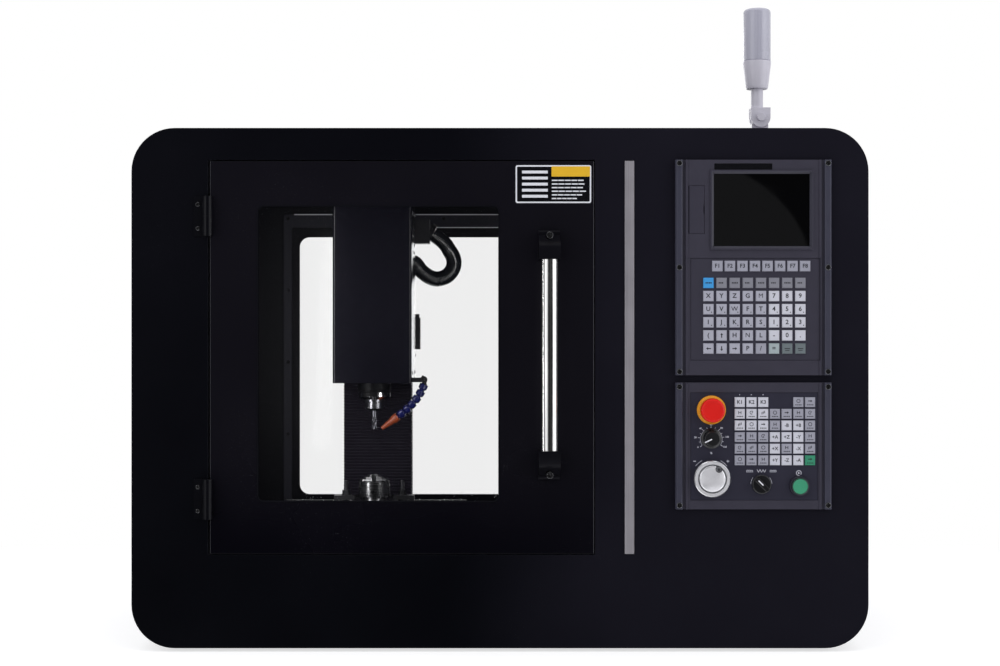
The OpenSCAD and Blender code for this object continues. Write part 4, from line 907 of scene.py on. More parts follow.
class PrintedMarks:
    """Flat print on the front, collected into one piece; lengths in millimetres.

    The font's size and the thickening of its letters are shares of a capital's height.
    """

    font_size = 1.42
    thicker = 0.03
    thicker_wide = {"M": 0.0, "W": 0.012, "N": 0.012}

    def __init__(self, shop: Workshop, reach: float) -> None:
        """Start with no marks at a reach."""
        self.shop = shop
        self.y = shop.front - reach * MM
        self.vertices: list[Place] = []
        self.faces: list[Sequence[int]] = []

    def polygon(self, points: Iterable[Point]) -> None:
        """Add one filled outline, given anticlockwise as seen from the front."""
        start = len(self.vertices)
        self.vertices += [(x * MM, self.y, z * MM) for x, z in points]
        self.faces.append(range(start, len(self.vertices)))

    def tilted(self, outline: Iterable[Point], x: float, z: float, turn: float) -> None:
        """Add an outline round the origin, turned by degrees and moved to a point."""
        c, s = math.cos(math.radians(turn)), math.sin(math.radians(turn))
        self.polygon([(x + a * c - b * s, z + a * s + b * c) for a, b in outline])

    def bar(self, x: float, z: float, wide: float, high: float, turn: float = 0.0) -> None:
        """Add a bar by its middle, size and turn in degrees."""
        a, b = wide / 2, high / 2
        self.tilted([(-a, -b), (a, -b), (a, b), (-a, b)], x, z, turn)

    def arrow(self, x: float, z: float, size: float, turn: float) -> None:
        """Add an arrow with a stem that points right before its turn."""
        a, b, c = size * 0.1, size * 0.3, size * 0.5
        self.tilted([(-c, -a), (a, -a), (a, a), (-c, a)], x, z, turn)
        self.tilted([(a, -b), (c, 0.0), (a, b)], x, z, turn)

    def arc(
        self, x: float, z: float, radius: float, line: float, start: float, end: float
    ) -> None:
        """Add an arc.

        Args:
            x: its middle, to the right.
            z: its middle, upwards.
            radius: radius of the middle of its line.
            line: width of its line.
            start: angle of its start in degrees.
            end: angle of its end in degrees.
        """
        steps = max(4, int(abs(end - start) / 12))
        turns = [math.radians(start + (end - start) * i / steps) for i in range(steps + 1)]
        inner, outer = radius - line / 2, radius + line / 2
        for a, b in zip(turns, turns[1:]):
            corners = ((inner, a), (outer, a), (outer, b), (inner, b))
            self.polygon([polar((x, z), reach, turn) for reach, turn in corners])

    def glyphs(self, words: str, x: float, z: float, high: float) -> None:
        """Add letters or digits.

        Args:
            words: what they say.
            x: their middle, to the right.
            z: their middle, upwards.
            high: height of a capital.
        """
        text = bpy.data.curves.new("glyphs", "FONT")
        text.body = words
        text.size = high * self.font_size * MM
        text.align_x = "CENTER"
        text.align_y = "CENTER"
        text.resolution_u = 2
        text.offset = self.thicker_wide.get(words, self.thicker) * high * MM
        holder = placed("glyphs", text)
        mesh = evaluated(holder)
        start = len(self.vertices)
        self.vertices += [(x * MM + v.co.x, self.y, z * MM + v.co.y) for v in mesh.vertices]
        self.faces += [[start + i for i in p.vertices] for p in mesh.polygons]
        bpy.data.objects.remove(holder)
        bpy.data.curves.remove(text)
        bpy.data.meshes.remove(mesh)

    def piece(self, name: str, body: str, slot: str, finish: Finish) -> None:
        """Make the marks one piece on a body."""
        self.shop.keep(self.shop.plain(name, self.vertices, self.faces, finish), body, slot)


# ---------------------------------------------------------------- geometry trees


class GeometryTree(Tree):
    """A Geometry Nodes tree with named inputs, one of them the finish."""

    def __init__(self, shop: Workshop, name: str, **kinds: str) -> None:
        """Start a tree that takes and gives geometry.

        Args:
            shop: the workshop that takes its pieces.
            name: name of the tree.
            **kinds: kind of socket of each further input.
        """
        self.shop = shop
        self.tree = bpy.data.node_groups.new(name, "GeometryNodeTree")
        self.identifiers: dict[str, str] = {}
        self._socket("Geometry", "Geometry", "OUTPUT")
        for title, kind in {"Geometry": "Geometry", **kinds, "Finish": "Material"}.items():
            self.identifiers[title] = self._socket(title, kind, "INPUT")
        self.given = self.node("NodeGroupInput").outputs
        self.sink = self.node("NodeGroupOutput").inputs[0]

    def _socket(self, title: str, kind: str, way: str) -> str:
        """Add an input or output to the tree and return its identifier."""
        face = self.tree.interface
        return face.new_socket(title, in_out=way, socket_type="NodeSocket" + kind).identifier

    def shape(self, title: str) -> bpy.types.NodeSocket:
        """Return the geometry of the object at a named input."""
        node = self.node("GeometryNodeObjectInfo", None, {"Object": self.given[title]})
        return node.outputs["Geometry"]

    def finish(self, geometry: bpy.types.NodeSocket) -> None:
        """Realize the instances, set the material and end the tree."""
        real = self.node("GeometryNodeRealizeInstances", None, {"Geometry": geometry}).outputs[0]
        sockets = {"Geometry": real, "Material": self.given["Finish"]}
        self.feed(self.sink, self.node("GeometryNodeSetMaterial", None, sockets).outputs[0])

    def grown(
        self, source: bpy.types.Object, name: str, finish: Finish, **values: Any
    ) -> bpy.types.Object:
        """Return what the tree makes of an object, as a plain piece.

        Args:
            source: the object that it starts from, which is dropped.
            name: name of the piece.
            finish: its finish.
            **values: the further inputs; an object among them is dropped.

        Returns:
            The piece, on no body yet.
        """
        modifier = source.modifiers.new("tree", "NODES")
        modifier.node_group = self.tree
        for title, value in {**values, "Finish": finish.material()}.items():
            modifier[self.identifiers[title]] = value
        piece = self.shop.baked(source, name)
        for value in values.values():
            if isinstance(value, bpy.types.Object):
                bpy.data.objects.remove(value)
        return piece


class Fasteners(GeometryTree):
    """Rows of socket-head screws."""

    def __init__(self, shop: Workshop) -> None:
        """Build the tree that stands one screw on every point."""
        super().__init__(shop, "screw_rows", Screw="Object", Turn="Vector", Seed="Int")
        given = self.given
        facing = self.node("FunctionNodeEulerToRotation", None, {0: given["Turn"]})
        stand = self.node(
            "GeometryNodeInstanceOnPoints",
            None,
            {"Points": given[0], "Instance": self.shape("Screw"), "Rotation": facing.outputs[0]},
        )
        chance = {2: 0.0, 3: math.tau, "Seed": given["Seed"]}
        angle = self.node("FunctionNodeRandomValue", None, chance)
        spin = self.node("ShaderNodeCombineXYZ", None, {2: angle.outputs[1]})
        spin_turn = self.node("FunctionNodeEulerToRotation", None, {0: spin.outputs[0]})
        sockets = {"Instances": stand.outputs[0], "Rotation": spin_turn.outputs[0]}
        self.finish(self.node("GeometryNodeRotateInstances", None, sockets).outputs[0])

    def head(self, radius: float, height: float, domed: bool) -> bpy.types.Object:
        """Return one screw head, its underside at the origin and its socket up.

        Args:
            radius: radius in millimetres.
            height: height in millimetres.
            domed: whether its top is domed.

        Returns:
            The head.
        """
        flat, sixth = radius * 0.5, math.pi / 3

        def hexagon(turn: float) -> float:
            """Return the radius of a hexagonal socket at an angle."""
            return flat * MM / math.cos((turn + sixth / 2) % sixth - sixth / 2)

        shoulder, rim, top = (0.45, 0.9, 0.72) if domed else (0.86, 0.97, 0.92)
        rings = (
            (radius * MM, 0.0),
            (radius * MM, height * shoulder * MM),
            (radius * rim * MM, height * 0.9 * MM),
            (radius * top * MM, height * MM),
            (hexagon, height * MM),
            (hexagon, height * 0.35 * MM),
            (flat * 0.2 * MM, height * 0.25 * MM),
        )
        return self.shop.plain("screw_shape", *turned(rings), Look.fastener)

    def row(
        self,
        name: str,
        places: Sequence[Place],
        size: Point,
        facing: Facing = Facing.FRONT,
        body: str = "enclosure",
        finish: Finish = Look.fastener,
        domed: bool = False,
    ) -> None:
        """Set screws at places.

        Args:
            name: name of the piece.
            places: where the screws stand.
            size: radius and height of a head in millimetres.
            facing: way the heads look.
            body: CAD body that they ride on.
            finish: their finish.
            domed: whether the heads are domed.
        """
        points = self.shop.plain(name + "_points", places, [], finish)
        values = {"Screw": self.head(*size, domed), "Turn": facing.value, "Seed": len(places)}
        self.shop.keep(self.grown(points, name, finish, **values), body, "screw_steel")


class CorrugatedTube(GeometryTree):
    """Tube with even folds, swept along a path."""

    def __init__(self, shop: Workshop) -> None:
        """Build the tree: resample, scale by a wave of the length, then sweep."""
        sizes = {"Outline": "Object", "Pitch": "Float", "Depth": "Float", "Step": "Float"}
        super().__init__(shop, "corrugated_tube", **sizes)
        given = self.given
        sockets = {"Curve": given[0], "Length": given["Step"]}
        even = self.node("GeometryNodeResampleCurve", {"mode": "LENGTH"}, sockets)
        along = Num(self, self.node("GeometryNodeSplineParameter").outputs["Length"])
        groove = (along / given["Pitch"]).off_whole().between(0.05, 0.45)
        sockets = {
            "Curve": even.outputs[0],
            "Profile Curve": self.shape("Outline"),
            "Scale": 1.0 - groove * given["Depth"],
            "Fill Caps": True,
        }
        self.finish(self.node("GeometryNodeCurveToMesh", None, sockets).outputs[0])

    def curve(
        self, name: str, points: Sequence[Sequence[float]], closed: bool
    ) -> bpy.types.Object:
        """Return a straight-edged curve object.

        Args:
            name: its name.
            points: the points on it.
            closed: whether its last point joins its first.

        Returns:
            The curve object.
        """
        data = bpy.data.curves.new(name, "CURVE")
        data.dimensions = "3D"
        spline = data.splines.new("POLY")
        spline.points.add(len(points) - 1)
        for item, place in zip(spline.points, points):
            item.co = (*place, 1.0)
        spline.use_cyclic_u = closed
        return placed(name, data)

    def build(
        self, name: str, path: Sequence[Sequence[float]], radius: float, pitch: float
    ) -> bpy.types.Object:
        """Sweep a tube along a path.

        Args:
            name: name of the piece.
            path: points of its middle.
            radius: outer radius.
            pitch: length of one fold.

        Returns:
            The tube, on no body yet.
        """
        sides, depth, steps = 28, 0.06, 5
        outline = [(*polar((0, 0), radius, math.tau * i / sides), 0.0) for i in range(sides)]
        shape = self.curve(name + "_outline", outline, True)
        route = self.curve(name + "_route", path, False)
        values = {"Outline": shape, "Pitch": pitch, "Depth": depth, "Step": pitch / steps}
        piece = self.grown(route, name, Look.conduit, **values)
        for polygon in piece.data.polygons:
            polygon.use_smooth = len(polygon.vertices) <= 4
        return piece


class Scatter(GeometryTree):
    """Small chips strewn over a face."""

    def __init__(self, shop: Workshop) -> None:
        """Build the tree: strew points over the faces and stand one chip on each."""
        super().__init__(shop, "chips", Chip="Object", Density="Float", Seed="Int")
        given, seed = self.given, self.given["Seed"]
        strewn = self.node(
            "GeometryNodeDistributePointsOnFaces",
            None,
            {"Mesh": given[0], "Density": given["Density"], "Seed": seed},
        )
        turn = self.node(
            "FunctionNodeRandomValue",
            {"data_type": "FLOAT_VECTOR"},
            {0: (-0.5, -0.5, 0.0), 1: (0.5, 0.5, math.tau), "Seed": seed},
        )
        rotation = self.node("FunctionNodeEulerToRotation", None, {0: turn.outputs[0]})
        grow = self.node("FunctionNodeRandomValue", None, {2: 0.35, 3: 1.25, "Seed": seed})
        size = self.node("ShaderNodeCombineXYZ", None, {i: grow.outputs[1] for i in range(3)})
        sockets = {
            "Points": strewn.outputs[0],
            "Instance": self.shape("Chip"),
            "Rotation": rotation.outputs[0],
            "Scale": size.outputs[0],
        }
        self.finish(self.node("GeometryNodeInstanceOnPoints", None, sockets).outputs[0])

    def curl(self) -> bpy.types.Object:
        """Return one curled chip of about two millimetres."""
        vertices: list[Place] = []
        steps = 7
        for i in range(steps + 1):
            x, z = polar((0, 0.6), 0.55 + 0.08 * i, math.radians(40 + 230 * i / steps))
            vertices += [(x * MM, (side + 0.12 * i) * MM, z * MM) for side in (-0.35, 0.35)]
        faces = [[2 * i, 2 * i + 1, 2 * i + 3, 2 * i + 2] for i in range(steps)]
        return self.shop.plain("chip_shape", vertices, faces, Look.chips)

    def strew(
        self, name: str, low: Place, high: Place, count: int, body: str, slot: str
    ) -> None:
        """Strew chips over a rectangle, level or upright.

        Args:
            name: name of the piece.
            low: its lower left corner.
            high: its upper right corner.
            count: about how many chips.
            body: CAD body that they ride on.
            slot: slot of the record.
        """
        corners = (low, (high[0], *low[1:]), high, (low[0], *high[1:]))
        ground = self.shop.plain(name + "_field", corners, [[0, 1, 2, 3]], Look.chips)
        area = (high[0] - low[0]) * math.hypot(high[1] - low[1], high[2] - low[2])
        values = {"Chip": self.curl(), "Density": count / area, "Seed": count}
        self.shop.keep(self.grown(ground, name, Look.chips, **values), body, slot)


# ---------------------------------------------------------------- control units


@dataclass(frozen=True)
class KeyGrid:
    """Even grid of keys; lengths in millimetres from the unit's lower left corner.

    Its tones give each row's finish numbers from the top row down, with 0 for the bare film.
    """

    left: float
    top: float
    pitch: Point
    size: Point
    tones: Sequence[str]

    def middle(self, column: int, row: int) -> Point:
        """Return the middle of one key."""
        return (
            self.left + column * self.pitch[0] + self.size[0] / 2,
            self.top - row * self.pitch[1] - self.size[1] / 2,
        )

    def tone(self, x: float, z: float) -> int:
        """Return the finish number of the key that holds a point, or 0 off the keys."""
        before, beside = 1.0, 0.4
        column = int((x - self.left + before) // self.pitch[0])
        row = int((self.top + before - z) // self.pitch[1])
        if not (0 <= column < len(self.tones[0]) and 0 <= row < len(self.tones)):
            return 0
        middle = self.middle(column, row)
        near_x = abs(x - middle[0]) < self.size[0] / 2 + beside
        near_z = abs(z - middle[1]) < self.size[1] / 2 + beside
        return int(self.tones[row][column]) if near_x and near_z else 0


@dataclass(frozen=True)
class PanelSizes:
    """Sizes of the two units in millimetres.

    Places are from a unit's lower left corner, and film, prints, housing and screw are reaches.
    """

    film: float = 5.4
    film_print: float = 5.48
    key_print: float = 8.06
    housing: float = 6.0
    screw: float = 9.2
    rail: float = 13.2
    function_legend: float = 6.6
    main_legend: float = 7.4
    program_legend: float = 6.0
    axis_legend: float = 5.6
    arrow: float = 8.0
    nameplate: Point = (64.5, 340.5)
    nameplate_size: Point = (96.0, 10.4)
    function_keys: KeyGrid = KeyGrid(60.8, 189.6, (20.75, 20.75), (17.4, 17.4), ("3" * 8,))
    main_keys: KeyGrid = KeyGrid(
        46.1, 161.5, (21.75, 21.75), (17.1, 17.1), ("74444444", *["11111222"] * 4, "11113566")
    )
    operator_keys: KeyGrid = KeyGrid(
        98.1,
        185.7,
        (19.4, 19.26),
        (16.8, 16.3),
        ("2220033", "2223333", "2223223", "3332223", "3332323", "3332228"),
    )
    feed: Point = (59.5, 117.6)
    wheel: Point = (59.5, 51.6)
    mode: Point = (142.5, 41.6)
    start: Point = (205.5, 38.6)


class Print:
    """What the keys say, row by row from the top, and how the plain symbols are drawn.

    On the display unit < ^ > v are arrows and a space is two bars. On the operator unit an
    underscore is a bare place and a star a symbol. A symbol is a row of strokes, each with the
    method that prints it, its place on the key and its sizes in millimetres.
    """

    display = ("", "XYZGM789", "UVWFT456", "IJKRS123", "(^HNL-0.", "<v>P/=  ")
    operator = (
        "K1 K2 K3 _ _ * *",
        "* * * * * * *",
        "* * * * -B +B *",
        "* * * +A +Z -Y *",
        "* * * +X * -X *",
        "* * * +Y -Z -A *",
    )
    arrows = {">": 0, "^": 90, "<": 180, "v": 270}
    arc, arrow, bar = PrintedMarks.arc, PrintedMarks.arrow, PrintedMarks.bar
    symbols = (
        ((arc, 0, 2, 2.8, 0.9, 0, 360),),
        ((arrow, 0, 2, 7.0, 0),),
        ((bar, -2, 2, 1.0, 5.0), (bar, 2, 2, 1.0, 5.0), (bar, 0, 2, 5.0, 0.9)),
        ((arc, 0, 2, 2.6, 0.9, 30, 300), (bar, 1, 2, 3.4, 0.9, 40)),
        ((bar, -2.2, 1, 1.2, 4.0), (bar, 0, 2, 1.2, 4.0), (bar, 2.2, 3, 1.2, 4.0)),
    )


class ControlUnits:
    """Display unit, operator unit and all that they carry; their sizes are in millimetres."""

    def __init__(self, shop: Workshop, screws: Fasteners) -> None:
        """Take the corners of both units from the frame."""
        self.shop = shop
        self.screws = screws
        self.sizes = PanelSizes()
        self.display, self.display_size = self._extent(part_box("display_housing"))
        self.operator, self.operator_size = self._extent(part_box("operator_housing"))

    @staticmethod
    def _extent(corners: tuple[Vector, Vector]) -> tuple[Point, Point]:
        """Return a box's lower left corner and its width and height in millimetres."""
        low, high = corners
        return (low.x / MM, low.z / MM), ((high.x - low.x) / MM, (high.z - low.z) / MM)

    def build(self) -> None:
        """Make every piece of the two units."""
        self._housings()
        self._keypads()
        self._display_print()
        self._operator_print()
        self.shop.eased("display_screen", 0.3, Look.screen)
        self.shop.eased("usb_flap", 0.6, Look.film)
        self._controls()
        self._pointer("feed_knob", self.sizes.feed, 7.6, 12.75, 205.0)
        self._pointer("mode_selector", self.sizes.mode, 5.0, 11.05, 135.0)
        self._screws()

    def _housings(self) -> None:
        """Ease the housings and paint their rails."""
        rail, slope = self.sizes.rail * MM, 0.0068
        left = self.display[0] * MM
        right = left + self.display_size[0] * MM
        low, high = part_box("display_screen")

        def paint(middle: Vector, normal: Vector) -> int:
            """Give the rails the lighter lacquer and the slopes round the glass their gloss."""
            if not left + rail <= middle.x <= right - rail:
                return 1 if middle.y < self.shop.front + 0.001 else 0
            beside = low.x - slope < middle.x < high.x + slope
            level = low.z - slope < middle.z < high.z + slope
            return 2 if beside and level and abs(normal.y) < 0.97 else 0

        for node in ("display_housing", "operator_housing"):
            self.shop.eased(node, 0.7, Look.panel, 2, paint, (Look.rail, Look.bezel))

    def _keypads(self) -> None:
        """Ease the keypads and colour each key."""
        sizes = self.sizes
        top = self.shop.front - (sizes.film + 0.25) * MM

        def painter(corner: Point, *grids: KeyGrid) -> Painter:
            """Return what colours the keys of some grids on the unit with that corner."""

            def paint(middle: Vector, normal: Vector) -> int:
                """Return the tone of a face that stands out from the film."""
                x, z = middle.x / MM - corner[0], middle.z / MM - corner[1]
                return 0 if middle.y > top else max(grid.tone(x, z) for grid in grids)

            return paint

        display = painter(self.display, sizes.function_keys, sizes.main_keys)
        operator = painter(self.operator, sizes.operator_keys)
        self.shop.eased("display_keypad", 0.5, Look.film, 2, display, Look.keys)
        self.shop.eased("operator_keypad", 0.5, Look.film_low, 2, operator, Look.keys)

    def _display_print(self) -> None:
        """Print the key legends and the bare nameplate of the display unit."""
        sizes = self.sizes
        left, base = self.display
        dash, dash_pitch, first_dash, dot = (1.9, 2.4), 2.7, -4.0, (1.6, 1.6)
        marks = PrintedMarks(self.shop, sizes.key_print)
        for column in range(len(sizes.function_keys.tones[0])):
            x, z = sizes.function_keys.middle(column, 0)
            marks.glyphs(f"F{column + 1}", left + x, base + z, sizes.function_legend)
            x, z = sizes.main_keys.middle(column, 0)
            for step in range(4 - column % 2):
                marks.bar(left + x + first_dash + step * dash_pitch, base + z, *dash)
        for row, legend in enumerate(Print.display):
            for column, sign in enumerate(legend):
                x, z = sizes.main_keys.middle(column, row)
                x, z = left + x, base + z
                if sign in Print.arrows:
                    marks.arrow(x, z, sizes.arrow, Print.arrows[sign])
                elif sign == " ":
                    marks.bar(x, z, 9.0, 1.2)
                    marks.bar(x, z - 3, 7.0, 1.0)
                else:
                    marks.glyphs(sign, x - 0.4, z + 0.2, sizes.main_legend)
                if row in (2, 3):
                    marks.bar(x + 5.0, z - 5.0, *dot, 45)
        marks.piece("display_key_legends", "enclosure", "keypad_film", Look.print_dark)
        corner = (left + sizes.nameplate[0], base + sizes.nameplate[1])
        reach, size = (sizes.housing, sizes.housing + 0.6), sizes.nameplate_size
        plate = self.shop.plate("bare_nameplate", corner, size, reach, 0.8, Look.plate_black)
        self.shop.keep(plate, "enclosure", "screen_glass")

    def _operator_print(self) -> None:
        """Print legends, scales and symbols of the operator unit."""
        sizes = self.sizes
        keys = PrintedMarks(self.shop, sizes.key_print)
        film = PrintedMarks(self.shop, sizes.film_print)
        for row, line in enumerate(Print.operator):
            legends = line.split()
            for column, legend in enumerate(legends):
                x, z = self._on_operator(sizes.operator_keys.middle(column, row))
                if legend == "*":
                    self._symbol(keys, row * len(legends) + column, x, z)
                elif legend.startswith("K"):
                    keys.glyphs(legend, x, z, sizes.program_legend)
                    film.bar(x, z + 12.2, 1.4, 1.4)
                elif legend != "_":
                    keys.glyphs(legend, x, z, sizes.axis_legend)
        keys.piece("operator_key_legends", "enclosure", "keypad_film", Look.print_dark)
        self._feed_scale(film)
        self._wheel_marks(film)
        self._mode_marks(film)
        film.piece("operator_scales", "enclosure", "keypad_film", Look.print_white)

    def _on_operator(self, place: Point) -> Point:
        """Return a place on the operator unit in the frame's millimetres."""
        return self.operator[0] + place[0], self.operator[1] + place[1]

    def _symbol(self, marks: PrintedMarks, number: int, x: float, z: float) -> None:
        """Print one plain symbol over a short row of bars.

        Args:
            marks: where it is printed.
            number: number of the key, which picks the symbol.
            x: middle of the key, to the right.
            z: middle of the key, upwards.
        """
        for stroke, right, up, *sizes in Print.symbols[number % len(Print.symbols)]:
            stroke(marks, x + right, z + up, *sizes)
        for step in range(4):
            marks.bar(x - 4.2 + step * 2.8, z - 4.4, 1.9 + 0.3 * ((number + step) % 2), 1.5)

    def _feed_scale(self, film: PrintedMarks) -> None:
        """Print the scale round the feed knob, with a mark at every tenth."""
        x, z = self._on_operator(self.sizes.feed)
        z -= 1.5
        first, tenth = 214, 20.5
        for step in range(13):
            turn = math.radians(first - tenth * step)
            reach, long = (19.6, 2.6) if step % 2 else (20.4, 3.6)
            film.bar(*polar((x, z), reach, turn), long, 0.7, math.degrees(turn))
        film.arc(x, z, 18.2, 0.5, first - 12 * tenth, first)
        for step in range(7):
            turn = math.radians(first - 2 * tenth * step)
            film.glyphs(str(20 * step), x + 26.5 * math.cos(turn), z + 24 * math.sin(turn), 3.0)
        film.glyphs("%", x, z - 23.0, 3.6)

    def _wheel_marks(self, film: PrintedMarks) -> None:
        """Print plus, minus and two arcs round the handwheel, placed from its middle."""
        x, z = self._on_operator(self.sizes.wheel)
        for side in (-1, 1):
            film.bar(x + side * 27.5, z + 28, 4.4, 1.1)
            film.arc(x, z, 32.8, 0.8, 90 + side * 28, 90 + side * 52)
        film.bar(x + 27.5, z + 28, 1.1, 4.4)

    def _mode_marks(self, film: PrintedMarks) -> None:
        """Print the marks round the selector and over the start button, placed from their middles."""
        x, z = self._on_operator(self.sizes.mode)
        for step in range(6):
            film.bar(x - 6.0 + step * 2.5, z + 22.0, 5.0, 0.8, 65 if step % 2 else -65)
        for side in (-1, 1):
            for step in range(3):
                film.arc(x + side * (16.0 + step * 3.4), z + 21.5, 1.7, 0.8, 0, 180)
            film.bar(x + side * 19.4, z + 20.4, 11.5, 0.8)
            film.arc(x, z, 17.6, 0.6, 90 + side * 70 - 18, 90 + side * 70 + 18)
        x, z = self._on_operator(self.sizes.start)
        x, z = x - 1, z + 21.5
        film.arc(x, z, 4.0, 1.0, -40, 285)
        film.polygon([(x - 1.2, z - 2.0), (x + 2.0, z), (x - 1.2, z + 2.0)])

    def _controls(self) -> None:
        """Ease the knobs and buttons, and leave the handwheel bright."""
        shop = self.shop
        x, z = (value * MM for value in self._on_operator(self.sizes.wheel))
        axis, face = (x, 0.0, z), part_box("handwheel")[0].y
        disc = TurnedMetal("wheel_disc", (0.84, 0.83, 0.86), 0.34, axis, False, 0.4)
        bright = TurnedMetal("wheel_rim", (0.66, 0.66, 0.69), 0.2, axis, False, 0.9)
        # Painted shade: the recess of the finger bowl takes a dark metal.
        bowl_shade = TurnedMetal("wheel_bowl", (0.10, 0.10, 0.11), 0.3, axis, False, 0.7)
        bowl_x, bowl_z, bowl_radius, bowl_lip, flat_radius = 0.0106, 0.016, 0.0064, 0.0012, 0.0207

        def paint(middle: Vector, normal: Vector) -> int:
            """Polish the rim and paint shade into the recess of the finger bowl."""
            right, up = middle.x - x, middle.z - z
            in_bowl = math.hypot(right - bowl_x, up - bowl_z) < bowl_radius
            if in_bowl and middle.y > face + bowl_lip:
                return 2
            return 1 if math.hypot(right, up) > flat_radius else 0

        side = 0.0022
        top_radius = (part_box("start_button")[1].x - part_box("start_button")[0].x) / 2 - side
        start_x, start_z = (value * MM for value in self._on_operator(self.sizes.start))

        def rim(middle: Vector, normal: Vector) -> int:
            """Paint shade on the side of the button with a darker green."""
            return 1 if math.hypot(middle.x - start_x, middle.z - start_z) > top_radius else 0

        shop.eased_all(
            (
                ("estop_collar", 0.8, Look.yellow, 3),
                ("estop_button", 1.6, Look.red, 4),
                ("feed_knob", 0.7, Look.knob, 3),
                ("handwheel", 0.9, disc, 3, paint, (bright, bowl_shade)),
                ("mode_selector", 0.8, Look.knob, 3),
                ("start_button", 1.0, Look.green, 3, rim, (Look.green_side_shade,)),
            )
        )

    def _pointer(self, node: str, place: Point, offset: float, long: float, turn: float) -> None:
        """Print the white pointer of a knob; lengths in millimetres.

        Args:
            node: the knob.
            place: its middle on the operator unit.
            offset: distance from there to the middle of the pointer.
            long: length of the pointer.
            turn: its direction in degrees.
        """
        proud = 0.08
        marks = PrintedMarks(self.shop, (self.shop.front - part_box(node)[0].y) / MM + proud)
        middle = polar(self._on_operator(place), offset, math.radians(turn))
        marks.bar(*middle, long, 2.0, turn)
        marks.piece(node + "_pointer", self.shop.body_of[node], "knob_black", Look.pointer)

    def _screws(self) -> None:
        """Set the screws of both units."""
        y = self.shop.front - self.sizes.screw * MM
        (left, low), (wide, high) = self.display, self.display_size
        below, tall = self.operator[1], self.operator_size[1]
        side, end, operator_end = 6.5, 6.0, 7.0
        heights = (low + end, low + high / 2, low + high - end)
        heights += (below + operator_end, below + tall - operator_end)
        places = [(x * MM, y, z * MM) for x in (left + side, left + wide - side) for z in heights]
        self.screws.row("panel_screws", places, (4.6, 1.8))


# ---------------------------------------------------------------- cabinet and door


